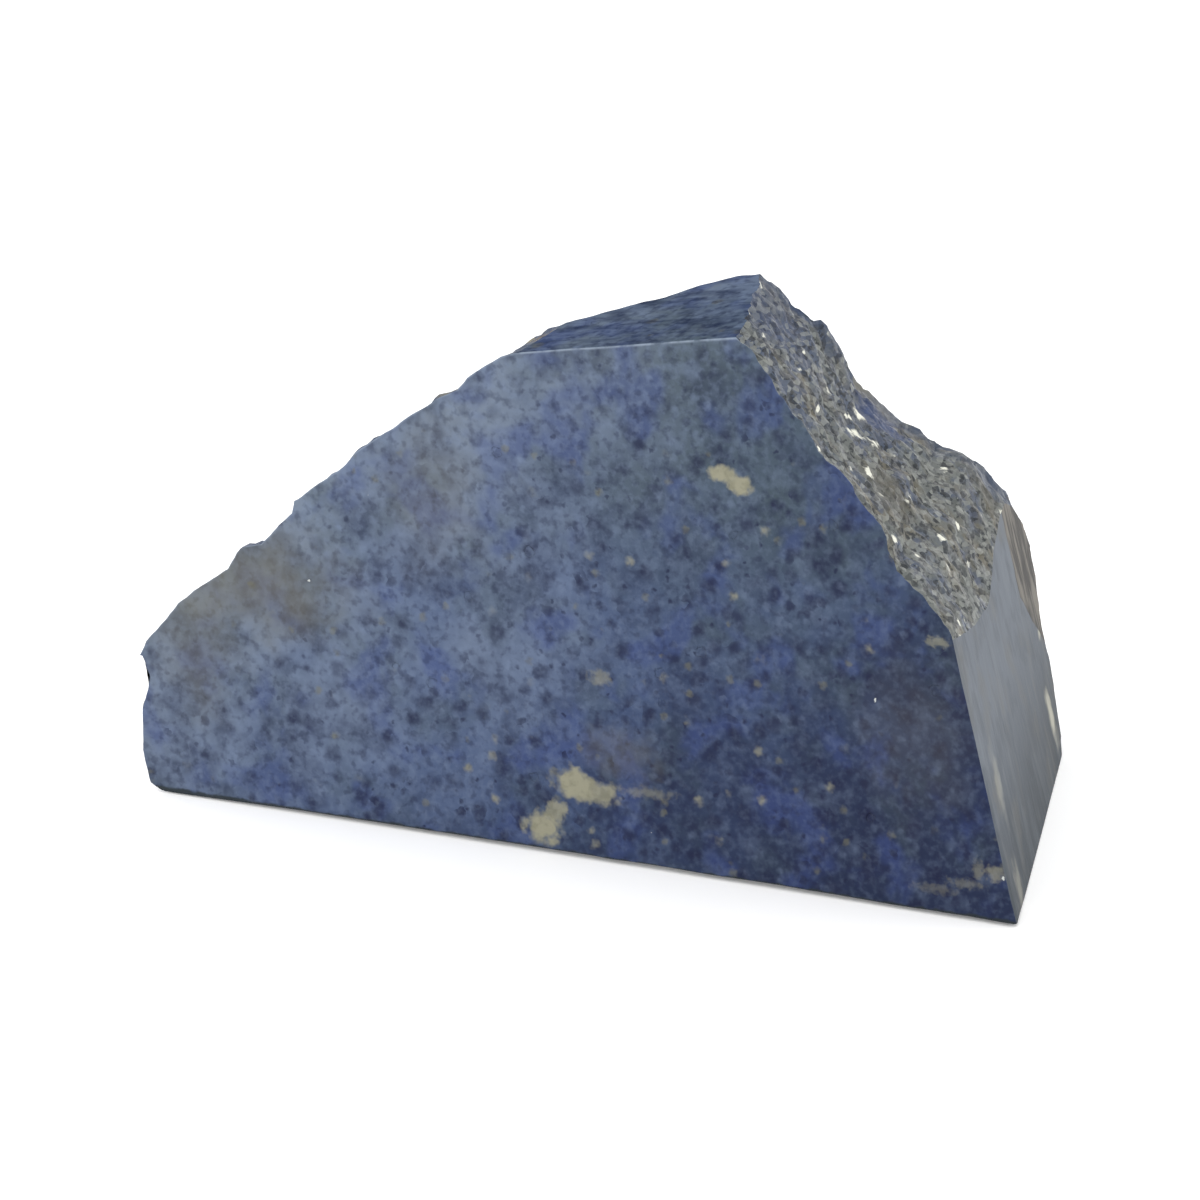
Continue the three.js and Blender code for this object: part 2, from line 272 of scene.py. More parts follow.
@dataclass(frozen=True)
class StoneShape:
    """The stone before it is roughened: a box bent to shape, and the cuts that bound it.

    Stations run along the length, from the rough left end to the sawn right end. At each one the
    section has four corners: front foot, front top, back top and back foot.

    Attributes:
        end_per_y: How far the sawn end moves in x for each millimetre in y.
        end_per_z: The same for each millimetre in z.
        end_height: Height of its front edge.
        facet_tip: Front left corner of the facet, as x and z.
        facet_per_x: How far the facet rises for each millimetre in x.
        facet_per_y: The same for each millimetre in y.
        facet_right: Where its front edge ends, in x.
        dip_reach: Share of the ridge's length from which its top takes the dip of the sawn end.
        cut_reach: The same for the back and the swell of the sawn end.
        end_turn: How far, at the start of the ridge, the back stays clear of the end's plane.
        swell_left: Where the back swells to, left of the ridge.
        swell_right: The same at the sawn end.
        swell_power: Moves the middle of the swell: under 1, down.
    """

    end_per_y: float = -0.305
    end_per_z: float = -0.253
    end_height: float = 28.3
    facet_tip: Pair = (-53.3, 51.4)
    facet_per_x: float = 0.188
    facet_per_y: float = 0.1
    facet_right: float = -29.8
    # Front face as x and z: the left edge, the ledges of the slope, the ridge.
    left_edge: tuple[Pair, ...] = (
        (-93.5, 0), (-95, 0.7), (-95.8, 4.2), (-95.7, 8.2), (-94.9, 12.2), (-95.9, 14.3),
    )
    slope_edge: tuple[Pair, ...] = (
        (-95.9, 14.3), (-94.5, 16.8), (-92.7, 18.7), (-91.4, 20.5), (-89.1, 22.4), (-85.6, 24.8),
        (-84.6, 26.6), (-83.9, 27.3), (-81.8, 27.8), (-79.7, 30.1), (-78.3, 31.6), (-78, 32.9),
        (-76.2, 34.6), (-73.1, 36.9), (-71.4, 38.8), (-68.3, 41.1), (-65.3, 43.2), (-62.3, 45.2),
        (-59.9, 46.7), (-58.9, 48.1), (-57.2, 49.4), (-55.2, 50.7), (-53.3, 51.4),
    )
    ridge_edge: tuple[Pair, ...] = (
        (-27.3, 53.3), (-24.8, 49.7), (-23.2, 48.2), (-20.2, 44.2), (-18, 42.1), (-16.2, 40),
        (-14.5, 37.6), (-13.2, 34.4), (-10.3, 32.5), (-7.7, 29.4),
    )
    # Back top edge: x, y and z behind the slope and along the crest, x and y on the facet.
    slope_back: tuple[Triple, ...] = (
        (-92.2, 7.5, 12), (-86, 9.5, 19.5), (-79, 10.5, 26), (-70, 11, 34.5), (-61, 10.5, 43),
    )
    facet_back: tuple[Pair, ...] = (
        (-51.7, 7.7), (-48.6, 10.1), (-45.1, 12.9), (-41.8, 16.6), (-38.2, 18.7), (-36, 19),
    )
    crest: tuple[Triple, ...] = (
        (-35.3, 21.8, 54.3), (-34.5, 25, 51.7), (-33.6, 27, 50.5), (-33.3, 30.3, 47),
        (-32.3, 35.9, 40.8), (-30.4, 39.5, 37.4), (-28.2, 42.4, 34.8), (-27.3, 43.6, 33.2),
        (-24.7, 45.6, 32.3), (-23.5, 46.7, 30.4),
    )
    crest_end: Pair = (48, 26.6)
    # Back foot as x and y on the base, and its last y at the sawn end.
    slope_foot: tuple[Pair, ...] = ((-88.5, 7), (-82, 14.5), (-74, 19), (-66, 26))
    facet_foot: tuple[Pair, ...] = ((-66, 26), (-57, 32.5), (-50, 36))
    ridge_foot: tuple[Pair, ...] = ((-50, 36), (-38, 45), (-29, 51), (-20.5, 51.5))
    foot_end: float = 47
    # Where the stretches meet along the front foot, and how far the back swells out at their ends.
    front_feet: Pair = (-55, -33)
    swells: tuple[float, float, float, float] = (1.5, 5.5, 7, 9.5)
    # Roughness at the front and back edges of the top, by stretch.
    slope_roughness: Pair = (0.12, 1.0)
    facet_roughness: Pair = (0.0, 0.8)
    ridge_roughness: Pair = (0.12, 0.4)
    # Sawn end: dip of its top edge and swell of its back edge, by share of the way along.
    top_dip: tuple[Pair, ...] = (
        (0, 0), (0.3, -2.7), (0.51, -3.7), (0.65, -2.1), (0.72, -1), (0.9, 0.2), (1, 0),
    )
    dip_reach: float = 0.7
    cut_swell: tuple[Pair, ...] = (
        (0, 0), (0.05, 4), (0.24, 6.2), (0.4, 7.6), (0.5, 9.4), (0.6, 10.6), (0.72, 10.9),
        (0.83, 8.8), (0.93, 4.5), (1, 0),
    )
    cut_reach: float = 0.75
    end_turn: float = 13
    swell_left: Triple = (-0.5, 0.82, 0.28)
    swell_right: Triple = (-0.05, 0.95, 0.3)
    swell_power: float = 0.8

    def facet_z(self, x: Array, y: Array) -> Array:
        """Height of the facet's plane: it rises a little to the right and to the back."""
        tip_x, tip_z = self.facet_tip
        return tip_z + self.facet_per_x * (x - tip_x) + self.facet_per_y * y

    def end_x(self, y: Array, z: Array) -> Array:
        """Place of the sawn end's plane: it leans in and to the left."""
        return self.end_per_y * y + self.end_per_z * z

    def cuts(self) -> dict[Side, SawnPlane]:
        """The four sawn planes, by side."""
        tip_x, tip_z = self.facet_tip
        return {
            Side.FRONT: SawnPlane((0, -1, 0)),
            Side.BASE: SawnPlane((0, 0, -1)),
            Side.END: SawnPlane((1, -self.end_per_y, -self.end_per_z)),
            Side.FACET: SawnPlane((-self.facet_per_x, -self.facet_per_y, 1), (tip_x, 0, tip_z)),
        }

    def stretches(self) -> list[Stretch]:
        """The slope, the facet and the ridge, with every edge as points in space."""

        def on_front(pairs: tuple[Pair, ...]) -> Array:
            """Pairs of x and z, put on the front."""
            return np.array([(x, 0.0, z) for x, z in pairs])

        def on_base(pairs: tuple[Pair, ...]) -> Array:
            """Pairs of x and y, put on the base."""
            return np.array([(x, y, 0.0) for x, y in pairs])

        def on_facet(pairs: tuple[Pair, ...]) -> Array:
            """Pairs of x and y, put on the facet."""
            return np.array([(x, y, self.facet_z(x, y)) for x, y in pairs])

        facet_right = (self.facet_right, self.facet_z(self.facet_right, 0.0))
        ridge_end = (self.end_x(0.0, self.end_height), self.end_height)
        facet_back = on_facet(self.facet_back)
        crest_end = (self.end_x(*self.crest_end), *self.crest_end)
        foot_end = (self.end_x(self.foot_end, 0.0), self.foot_end)
        feet = (self.left_edge[0][0], *self.front_feet, 0.0)
        return [
            Stretch(
                front=on_front(self.slope_edge),
                top=np.array([*self.slope_back, facet_back[0]]),
                foot=on_base(self.slope_foot),
                front_foot=feet[:2],
                swell=self.swells[:2],
                roughness=self.slope_roughness,
            ),
            Stretch(
                front=on_front((self.slope_edge[-1], facet_right)),
                top=facet_back,
                foot=on_base(self.facet_foot),
                front_foot=feet[1:3],
                swell=self.swells[1:3],
                roughness=self.facet_roughness,
            ),
            Stretch(
                front=on_front((facet_right, *self.ridge_edge, ridge_end)),
                top=np.array([facet_back[-1], *self.crest, crest_end]),
                foot=on_base((*self.ridge_foot, foot_end)),
                front_foot=feet[2:],
                swell=self.swells[2:],
                roughness=self.ridge_roughness,
            ),
        ]


class BentBox:
    """The stone's stations, and the points of its box at any share across and up."""

    def __init__(self, shape: StoneShape, step: float) -> None:
        """Works out the stations.

        Args:
            shape: The outlines.
            step: Longest step between stations, in millimetres.
        """
        self.shape = shape
        columns = {name: [] for name in ("number", "share", "top", "front", "back", "foot", "swell")}
        stretches = shape.stretches()
        for number, stretch in enumerate(stretches):
            share = stretch.shares(step)
            if number == len(stretches) - 1:
                share = np.append(share, 1.0)
            columns["number"].append(np.full(len(share), number))
            columns["share"].append(share)
            columns["top"].append(along_line(stretch.front, share))
            columns["front"].append(between(*stretch.front_foot, share))
            columns["back"].append(along_line(stretch.top, share))
            columns["foot"].append(along_line(stretch.foot, share))
            columns["swell"].append(between(*stretch.swell, share))
        joined = {name: np.concatenate(parts) for name, parts in columns.items()}
        self.number: Indices = joined["number"]
        self.to_right: Array = np.where(self.number == len(stretches) - 1, joined["share"], 0.0)
        self.front_top: Array = joined["top"]
        self.front_foot: Array = np.stack([joined["front"], *np.zeros((2, len(self.number)))], axis=-1)
        self.back_top: Array = joined["back"]
        self.back_foot: Array = joined["foot"]
        self.swell: Array = joined["swell"]
        self.last = len(self.number) - 1
        self.facet_start = int(np.argmax(self.number == 1))
        self.ridge_start = int(np.argmax(self.number == 2))
        self.roughness: Array = np.array([stretch.roughness for stretch in stretches])

    def front_points(self, station: Indices, up: Array) -> Array:
        """The front side of a section: straight from foot to top, or the left end's own edge.

        Args:
            station: Station of each point.
            up: Share of the height.

        Returns:
            One point for each station and share.
        """
        straight = between(self.front_foot[station], self.front_top[station], up[:, None])
        left = along_line(np.array([(x, 0.0, z) for x, z in self.shape.left_edge]), up)
        return np.where((station == 0)[:, None], left, straight)

    def back_points(self, station: Indices, up: Array) -> Array:
        """The back side of a section: straight from foot to top plus half a sine wave outwards.

        At the sawn end the back takes the outline of the cut instead, and everywhere it stays
        behind the cut's plane.

        Args:
            station: Station of each point.
            up: Share of the height.

        Returns:
            One point for each station and share.
        """
        shape = self.shape
        to_right = self.to_right[station]
        point = between(self.back_foot[station], self.back_top[station], up[:, None])
        left, right = np.array(shape.swell_left), np.array(shape.swell_right)
        direction = unit(between(left, right, to_right[:, None]))
        at_cut = smooth_share(to_right, shape.cut_reach, 1.0)
        swell = self.swell[station] * np.sin(np.pi * up**shape.swell_power) * (1.0 - at_cut)
        point = point + direction * swell[:, None]
        point[:, 1] += np.interp(up, *np.array(shape.cut_swell).T) * at_cut
        limit = shape.end_x(point[:, 1], point[:, 2]) - shape.end_turn * (1.0 - to_right)
        point[:, 0] = np.minimum(point[:, 0], limit)
        return point

    def points(self, station: Indices, across: Array, up: Array) -> Array:
        """Points of the bent box: straight from the front side to the back side.

        Args:
            station: Station of each point.
            across: Share of the way from front to back.
            up: Share of the height.

        Returns:
            One point in stone coordinates for each row.
        """
        front = self.front_points(station, up)
        back = self.back_points(station, up)
        point = between(front, back, across[:, None])
        dip = np.interp(across, *np.array(self.shape.top_dip).T)
        at_dip = smooth_share(self.to_right[station], self.shape.dip_reach, 1.0)
        drop = dip * at_dip * up
        point[:, 2] += drop
        point[:, 0] += self.shape.end_per_z * drop
        return point


def fill_inside(shift: Array) -> Array:
    """Spreads the shifts of a grid's four edges over its inside, straight from edge to edge.

    The value is the blend of the left and right edges, plus the blend of the lower and upper
    ones, less the blend of the four corners.

    Args:
        shift: Rows by columns of shifts, right on the edges.

    Returns:
        The same grid, right everywhere.
    """
    rows, columns = shift.shape[:2]
    down = np.linspace(0.0, 1.0, rows)[:, None, None]
    over = np.linspace(0.0, 1.0, columns)[None, :, None]
    sides = between(shift[:, :1], shift[:, -1:], over)
    ends = between(shift[:1], shift[-1:], down)
    corners = between(
        between(shift[:1, :1], shift[:1, -1:], over),
        between(shift[-1:, :1], shift[-1:, -1:], over),
        down,
    )
    filled = sides + ends - corners
    filled[0], filled[-1] = shift[0], shift[-1]
    filled[:, 0], filled[:, -1] = shift[:, 0], shift[:, -1]
    return filled


@dataclass
class StoneMesh:
    """The closed surface of the stone, worked out as eight grids that share their edges.

    Attributes:
        shape: The outlines and the cuts.
        step: Longest step along the front top edge, in millimetres.
        across: Steps from front to back.
        up: Steps from foot to top.
        lumps: The larger broken faces.
        chips: The smaller ones.
        grains: The grains of the fresh break, fine and finer.
        cut_margin: How near a cut the lumps and chips fade out.
        grain_margin: How near a cut the grains do.
        slope_edge_grain: How much of the grain the front edge of the slope takes.
        left_roughness: How much of the lumps and chips the thin left end takes.
        left_reach: How far from it they are full.
        facet_roughness: How much of them is left at the facet.
        facet_reach: How far below it they are full.
        back_edge_start: Share of the height from which they ease off on the back.
        worn: The edges between two cuts.
        wear: Least and most that these edges are worn back.
        notches: How the wear differs along them.
        gap: How far the base's front edge is off the floor, by x.
        gap_reach: Where behind the front the gap starts to close, and where it is closed.
        gap_height: How far up the front it draws the surface along.
        crusts: How much of each side is natural outer stone. A later one wins where two meet.
        ridge_crust: The same at the back of the ridge.
        ridge_crust_span: Shares of the way back at which it starts and would be full.
        pale_edges: How pale the edges of the cuts are.
    """

    shape: StoneShape = field(default_factory=StoneShape)
    step: float = 0.6
    across: int = 70
    up: int = 100
    lumps: BrokenFaces = BrokenFaces(width=14, step=1.3, tilt=0.2, seed=23)
    chips: BrokenFaces = BrokenFaces(width=5.5, step=0.45, tilt=0.16, seed=47)
    grains: tuple[BrokenFaces, ...] = (
        BrokenFaces(width=2.3, step=0.16, tilt=0.25, seed=71),
        BrokenFaces(width=1.1, step=0.1, tilt=0.25, seed=83),
    )
    cut_margin: float = 3.0
    grain_margin: float = 0.7
    slope_edge_grain: float = 0.3
    left_roughness: float = 0.3
    left_reach: float = 14.0
    facet_roughness: float = 0.4
    facet_reach: float = 4.0
    back_edge_start: float = 0.8
    worn: tuple[tuple[Side, Side], ...] = (
        (Side.FRONT, Side.FACET), (Side.FRONT, Side.END), (Side.FRONT, Side.BASE),
        (Side.BASE, Side.END),
    )
    wear: Pair = (0.05, 0.2)
    notches: BrokenFaces = BrokenFaces(width=2.6, step=1.0, tilt=0.0, seed=101, border=0.3)
    gap: tuple[Pair, ...] = ((-92, 0.1), (-78, 0.3), (-40, 0.35), (-20, 0.3), (0, 0.2))
    gap_reach: Pair = (1.0, 9.0)
    gap_height: float = 4.0
    crusts: tuple[tuple[Side, float], ...] = (
        (Side.BACK, 1.0), (Side.LEFT_END, 0.8), (Side.SLOPE, 0.7),
    )
    ridge_crust: float = 0.8
    ridge_crust_span: Pair = (0.8, 1.1)
    # Pale edges of the cuts: partly chipped wear, partly a painted highlight.
    pale_edges: tuple[tuple[Side, Side, float], ...] = (
        (Side.FRONT, Side.BASE, 0.35), (Side.FRONT, Side.END, 0.5), (Side.BASE, Side.END, 0.4),
        (Side.FRONT, Side.SLOPE, 0.8), (Side.FRONT, Side.RIDGE, 0.5),
        (Side.FRONT, Side.FACET, 0.9),
    )

    def build(self) -> None:
        """Works out the vertices, the faces and the values that the finishes read."""
        self.box = BentBox(self.shape, self.step)
        self.number_vertices()
        shares = self.place[:, 1] / self.across, self.place[:, 2] / self.up
        self.points = self.box.points(self.place[:, 0], *shares)
        outward = self.outward_normals()
        relief = self.lumps.heights(self.points) + self.chips.heights(self.points)
        amount = self.roughness(*shares) * relief
        self.move(outward * amount[:, None], self.cut_margin)
        outward = self.outward_normals()
        grain = sum(size.heights(self.points) for size in self.grains)
        on_edge = (self.place[:, 1] == 0) & (self.place[:, 0] < self.box.facet_start)
        grain *= np.where(on_edge, self.slope_edge_grain, 1.0)
        self.move(outward * grain[:, None], self.grain_margin)
        self.wear_edges()
        self.lift_front_edge()

    def number_vertices(self) -> None:
        """Numbers the outer points of the lattice so that sides share the points of an edge."""
        last, facet, ridge = self.box.last, self.box.facet_start, self.box.ridge_start
        along, over, high = np.arange(last + 1), np.arange(self.across + 1), np.arange(self.up + 1)

        def grid(rows: Indices, columns: Indices, order: str) -> Indices:
            """Lattice places of a side. order says what rows and columns are, and what is fixed."""
            first, second = np.meshgrid(rows, columns, indexing="ij")
            fixed = {"J": self.across, "K": self.up, "I": last, "0": 0}
            parts = {"r": first, "c": second}
            return np.stack(
                [parts[key] if key in parts else np.full_like(first, fixed[key]) for key in order],
                axis=-1,
            )

        sides = {
            Side.FRONT: grid(along, high, "r0c"),
            Side.BASE: grid(along, over[::-1], "rc0"),
            Side.END: grid(over, high, "Irc"),
            Side.FACET: grid(along[facet:ridge + 1], over, "rcK"),
            Side.RIDGE: grid(along[ridge:], over, "rcK"),
            Side.SLOPE: grid(along[:facet + 1], over, "rcK"),
            Side.LEFT_END: grid(high, over, "0cr"),
            Side.BACK: grid(along, high[::-1], "rJc"),
        }
        spans = (self.across + 1) * (self.up + 1), self.up + 1, 1
        codes = {side: places @ np.array(spans) for side, places in sides.items()}
        every = np.concatenate([code.ravel() for code in codes.values()])
        used = np.unique(every)
        self.place: Indices = np.stack(
            [used // spans[0], used % spans[0] // spans[1], used % spans[1]], axis=-1
        )
        self.grids = {side: np.searchsorted(used, code) for side, code in codes.items()}

    def quads(self, sides: tuple[Side, ...]) -> Indices:
        """The four-cornered faces of some sides, outer face out.

        Args:
            sides: Which sides.

        Returns:
            Four vertex numbers for each face.
        """
        faces = []
        for side in sides:
            grid = self.grids[side]
            corners = [grid[:-1, :-1], grid[1:, :-1], grid[1:, 1:], grid[:-1, 1:]]
            faces.append(np.stack(corners, axis=-1).reshape(-1, 4))
        return np.concatenate(faces)

    def outward_normals(self) -> Array:
        """Outward directions at the vertices of the rough sides: the sum over their faces."""
        quads = self.quads(ROUGH_SIDES)
        corner = self.points[quads]
        crossed = np.cross(corner[:, 2] - corner[:, 0], corner[:, 3] - corner[:, 1])
        total = np.zeros_like(self.points)
        for column in quads.T:
            np.add.at(total, column, crossed)
        return unit(total)

    def roughness(self, across: Array, up: Array) -> Array:
        """How much of the lumps and chips each vertex takes.

        It eases off towards the thin left end and the facet, and towards the edges of the top.

        Args:
            across: Share of the way to the back.
            up: Share of the height.

        Returns:
            A share for each vertex.
        """
        station = self.place[:, 0]
        from_left = self.box.front_top[station, 0] - self.box.front_top[0, 0]
        below = self.shape.facet_z(self.points[:, 0], self.points[:, 1]) - self.points[:, 2]
        full = between(self.left_roughness, 1.0, smooth_share(from_left, 0.0, self.left_reach))
        full *= between(self.facet_roughness, 1.0, smooth_share(below, 0.0, self.facet_reach))
        front_edge, back_edge = self.box.roughness[self.box.number[station]].T
        on_top = between(front_edge, back_edge, across)
        on_back = between(1.0, back_edge, smooth_share(up, self.back_edge_start, 1.0))
        return full * np.where(up == 1.0, on_top, on_back)

    def move(self, shift: Array, margin: float) -> None:
        """Shifts the rough sides, keeps the cuts flat and lets the cut sides follow.

        Args:
            shift: The wanted shift of each vertex.
            margin: Distance from a cut at which it is free.
        """
        for cut in self.shape.cuts().values():
            shift = cut.without_normal(self.points, shift, margin)
        rough = np.zeros(len(self.points), bool)
        rough[self.quads(ROUGH_SIDES).ravel()] = True
        moved = self.points + np.where(rough[:, None], shift, 0.0)
        self.put_on_cuts(moved)
        for side in self.shape.cuts():
            grid = self.grids[side]
            moved[grid] = self.points[grid] + fill_inside(moved[grid] - self.points[grid])
        self.points = moved

    def put_on_cuts(self, points: Array) -> None:
        """Puts the vertices of each cut side back on its plane, in place."""
        station, over, high = self.place.T
        points[over == 0, 1] = 0.0
        points[high == 0, 2] = 0.0
        on_facet = (high == self.up) & (station >= self.box.facet_start)
        on_facet &= station <= self.box.ridge_start
        points[on_facet, 2] = self.shape.facet_z(points[on_facet, 0], points[on_facet, 1])
        on_end = station == self.box.last
        points[on_end, 0] = self.shape.end_x(points[on_end, 1], points[on_end, 2])

    def wear_edges(self) -> None:
        """Wears the edges between two cuts back by a little, more in some places than in others."""
        cuts = self.shape.cuts()
        for first, second in self.worn:
            edge = np.intersect1d(self.grids[first], self.grids[second])
            share = 0.5 + 0.5 * self.notches.heights(self.points[edge])
            depth = between(*self.wear, np.clip(share, 0.0, 1.0))
            inward = -(cuts[first].normal + cuts[second].normal)
            self.points[edge] += inward * depth[:, None]

    def lift_front_edge(self) -> None:
        """Lifts the base's front edge off the floor by a little: the cut is not quite flat.

        The lift eases out behind the front and above the base.
        """
        x, y, z = self.points.T
        lift = np.interp(x, *np.array(self.gap).T)
        lift *= 1.0 - smooth_share(y, *self.gap_reach)
        lift *= 1.0 - smooth_share(z, 0.0, self.gap_height)
        self.points[:, 2] += lift

    def values(self) -> dict[str, Array]:
        """What the finishes read at each vertex.

        Returns:
            crust: 1 on natural outer stone, 0 on the fresh break. edge: How pale the edge of a cut
            is, 0 off the edges.
        """
        across = self.place[:, 1] / self.across
        crust = np.zeros(len(self.points))
        for side, share in self.crusts:
            crust[self.grids[side]] = share
        ridge = self.grids[Side.RIDGE]
        crust[ridge] = smooth_share(across[ridge], *self.ridge_crust_span) * self.ridge_crust
        edge = np.zeros(len(self.points))
        for first, second, paleness in self.pale_edges:
            edge[np.intersect1d(self.grids[first], self.grids[second])] = paleness
        return {"crust": crust, "edge": edge}

    def on_cut_rims(self) -> NDArray[np.bool_]:
        """Which vertices lie on the rim of a cut."""
        on_rim = np.zeros(len(self.points), bool)
        for side in self.shape.cuts():
            grid = self.grids[side]
            for line in (grid[0], grid[-1], grid[:, 0], grid[:, -1]):
                on_rim[line] = True
        return on_rim


Colour = tuple[float, float, float, float]
Socket = bpy.types.NodeSocket

BLACK: Colour = (0.0, 0.0, 0.0, 1.0)
WHITE: Colour = (1.0, 1.0, 1.0, 1.0)


def srgb(red: int, green: int, blue: int) -> Colour:
    """A colour as screens give it, from 0 to 255, turned into linear light by the sRGB curve."""
    parts = np.array([red, green, blue]) / 255.0
    linear = np.where(parts <= 0.04045, parts / 12.92, ((parts + 0.055) / 1.055) ** 2.4)
    return (*linear.tolist(), 1.0)


@dataclass(frozen=True)
class Noise:
    """Cloudy noise around 0.5.

    Attributes:
        size: Usual size of a cloud, in millimetres.
        detail: How many finer layers it has.
        warp: How much it swirls.
        seed: Picks one of many layouts.
    """

    size: float
    detail: float = 2.0
    warp: float = 0.0
    seed: float = 0.0


@dataclass(frozen=True)
class Step:
    """An eased step.

    Attributes:
        start: Where it is 0. This may be the larger of the two.
        stop: Where it is at its top.
        top: What it is there.
    """

    start: float
    stop: float
    top: float = 1.0


@dataclass(frozen=True)
class Cloud:
    """A colour that noise lays over what is under it.

    Attributes:
        paint: The colour.
        noise: The noise.
        step: From which noise on it shows, and how much of it.
    """

    paint: Colour
    noise: Noise
    step: Step


@dataclass(frozen=True)
class Specks:
    """Scattered specks of uneven shape.

    Attributes:
        apart: Usual distance between the cells that may have one, in millimetres.
        radius: Usual radius of a speck, in millimetres.
        chosen: Share of the cells that have one.
        seed: Shifts the layout.
        soft: Half the width of the rim, as a share of the radius.
    """

    apart: float
    radius: float
    chosen: float
    seed: float = 0.0
    soft: float = 0.25


@dataclass(frozen=True)
class Marking:
    """A patch of another colour.

    Attributes:
        middle: Where it is, in stone coordinates.
        radii: Its reach.
        strength: How much it covers.
        ragged: How far noise moves its rim, as a share of a radius.
        soft: Half the width of its rim, as a share of a radius.
    """

    middle: Triple
    radii: Triple
    strength: float = 1.0
    ragged: float = 0.5
    soft: float = 0.35


class Bench:
    """The node tree of one material, with a short method for each node that finishes use.

    Patterns are laid out in stone coordinates, so a size is always in millimetres.
    """

    # Specks: how fine their warp is and how far it sways them, both by radius, the radius of the
    # smallest against the usual one, and how a seed shifts their layout.
    SPECK_WARP = 0.7
    SPECK_SWAY = 1.6
    LEAST_SPECK = 0.5
    SEED_SHIFT = (1.0, 0.7, 1.3)
    # Markings: size of the noise in the rim against the radius, its detail and warp, its height.
    RIM_SIZE = 0.8
    RIM_DETAIL = 2.0
    RIM_WARP = 0.2
    RIM_HEIGHT = 4.0

    def __init__(self, name: str, corner: Vector) -> None:
        """Starts a material.

        Args:
            name: Name of the material.
            corner: Where the stone's own origin is, in metres.
        """
        self.material = bpy.data.materials.new(name)
        self.material.use_nodes = True
        self.nodes = self.material.node_tree.nodes
        self.links = self.material.node_tree.links
        self.nodes.clear()
        place = self.add("ShaderNodeTexCoord").outputs["Object"]
        mapping = self.add("ShaderNodeMapping", Vector=place)
        mapping.inputs["Scale"].default_value = (1 / MM, 1 / MM, 1 / MM)
        mapping.inputs["Location"].default_value = tuple(-corner / MM)
        self.place: Socket = mapping.outputs["Vector"]
        parts = self.add("ShaderNodeSeparateXYZ", Vector=self.place).outputs
        self.x, self.y, self.z = parts["X"], parts["Y"], parts["Z"]

    def add(self, kind: str, **inputs: object) -> bpy.types.Node:
        """Adds a node and joins or sets its named inputs.

        Args:
            kind: The node's type.
            **inputs: A socket to join, or a value to set, by input name.

        Returns:
            The node.
        """
        node = self.nodes.new(kind)
        for name, value in inputs.items():
            self.give(node.inputs[name.replace("_", " ")], value)
        return node

    def give(self, target: Socket, value: object) -> None:
        """Joins a socket to an input, or sets the input to a value."""
        if isinstance(value, bpy.types.NodeSocket):
            self.links.new(value, target)
        else:
            target.default_value = value

    def attribute(self, name: str) -> Socket:
        """A value that the mesh carries at its vertices."""
        node = self.add("ShaderNodeAttribute")
        node.attribute_name = name
        return node.outputs["Fac"]

    def sums(self, operation: str, *values: object) -> Socket:
        """One Math node on sockets or numbers."""
        node = self.add("ShaderNodeMath")
        node.operation = operation
        for target, value in zip(node.inputs, values):
            self.give(target, value)
        return node.outputs["Value"]

    def stretched(self, scale: Triple, turn: Triple = (0.0, 0.0, 0.0)) -> Socket:
        """The place, turned and then scaled along each axis, for drawn-out patterns."""
        turned = self.add("ShaderNodeMapping", Vector=self.place)
        turned.inputs["Rotation"].default_value = turn
        scaled = self.add("ShaderNodeMapping", Vector=turned.outputs["Vector"])
        scaled.inputs["Scale"].default_value = scale
        return scaled.outputs["Vector"]

    def noise(self, noise: Noise, place: Socket | None = None) -> Socket:
        """Cloudy noise around 0.5, read at the stone's place or at another one."""
        node = self.nodes.new("ShaderNodeTexNoise")
        node.noise_dimensions = "4D"
        self.give(node.inputs["Vector"], place or self.place)
        self.give(node.inputs["W"], noise.seed)
        self.give(node.inputs["Scale"], 1.0 / noise.size)
        self.give(node.inputs["Detail"], noise.detail)
        self.give(node.inputs["Distortion"], noise.warp)
        return node.outputs["Fac"]

    def cells(self, size: float, place: Socket | None = None) -> bpy.types.Node:
        """A Voronoi node with cells of a size, for its Distance and Color."""
        return self.add("ShaderNodeTexVoronoi", Vector=place or self.place, Scale=1.0 / size)

    def shares(self, cells: bpy.types.Node) -> list[Socket]:
        """Three random numbers from 0 to 1 for each cell."""
        parts = self.add("ShaderNodeSeparateColor", Color=cells.outputs["Color"])
        return [parts.outputs[name] for name in ("Red", "Green", "Blue")]

    def ramp(self, value: Socket, step: Step) -> Socket:
        """The eased step of a value."""
        node = self.add("ShaderNodeMapRange", Value=value)
        node.interpolation_type = "SMOOTHSTEP"
        swap = step.start > step.stop
        node.inputs["From Min"].default_value = step.stop if swap else step.start
        node.inputs["From Max"].default_value = step.start if swap else step.stop
        node.inputs["To Min"].default_value = step.top if swap else 0.0
        node.inputs["To Max"].default_value = 0.0 if swap else step.top
        return node.outputs["Result"]

    def mix(self, share: object, first: object, second: object) -> Socket:
        """A colour between two, by share."""
        node = self.nodes.new("ShaderNodeMix")
        node.data_type = "RGBA"
        self.give(node.inputs["Factor"], share)
        colours = [socket for socket in node.inputs if socket.type == "RGBA"]
        self.give(colours[0], first)
        self.give(colours[1], second)
        return next(socket for socket in node.outputs if socket.type == "RGBA")

    def clouded(
        self, colour: object, cloud: Cloud, share: Socket | None = None,
        place: Socket | None = None,
    ) -> Socket:
        """A colour with a cloud laid over it.

        Args:
            colour: What is under it.
            cloud: The cloud.
            share: How much of it shows, if less than all.
            place: Where it is read, if not at the stone's place.

        Returns:
            The colour with the cloud.
        """
        cover = self.ramp(self.noise(cloud.noise, place), cloud.step)
        if share is not None:
            cover = self.sums("MULTIPLY", cover, share)
        return self.mix(cover, colour, cloud.paint)

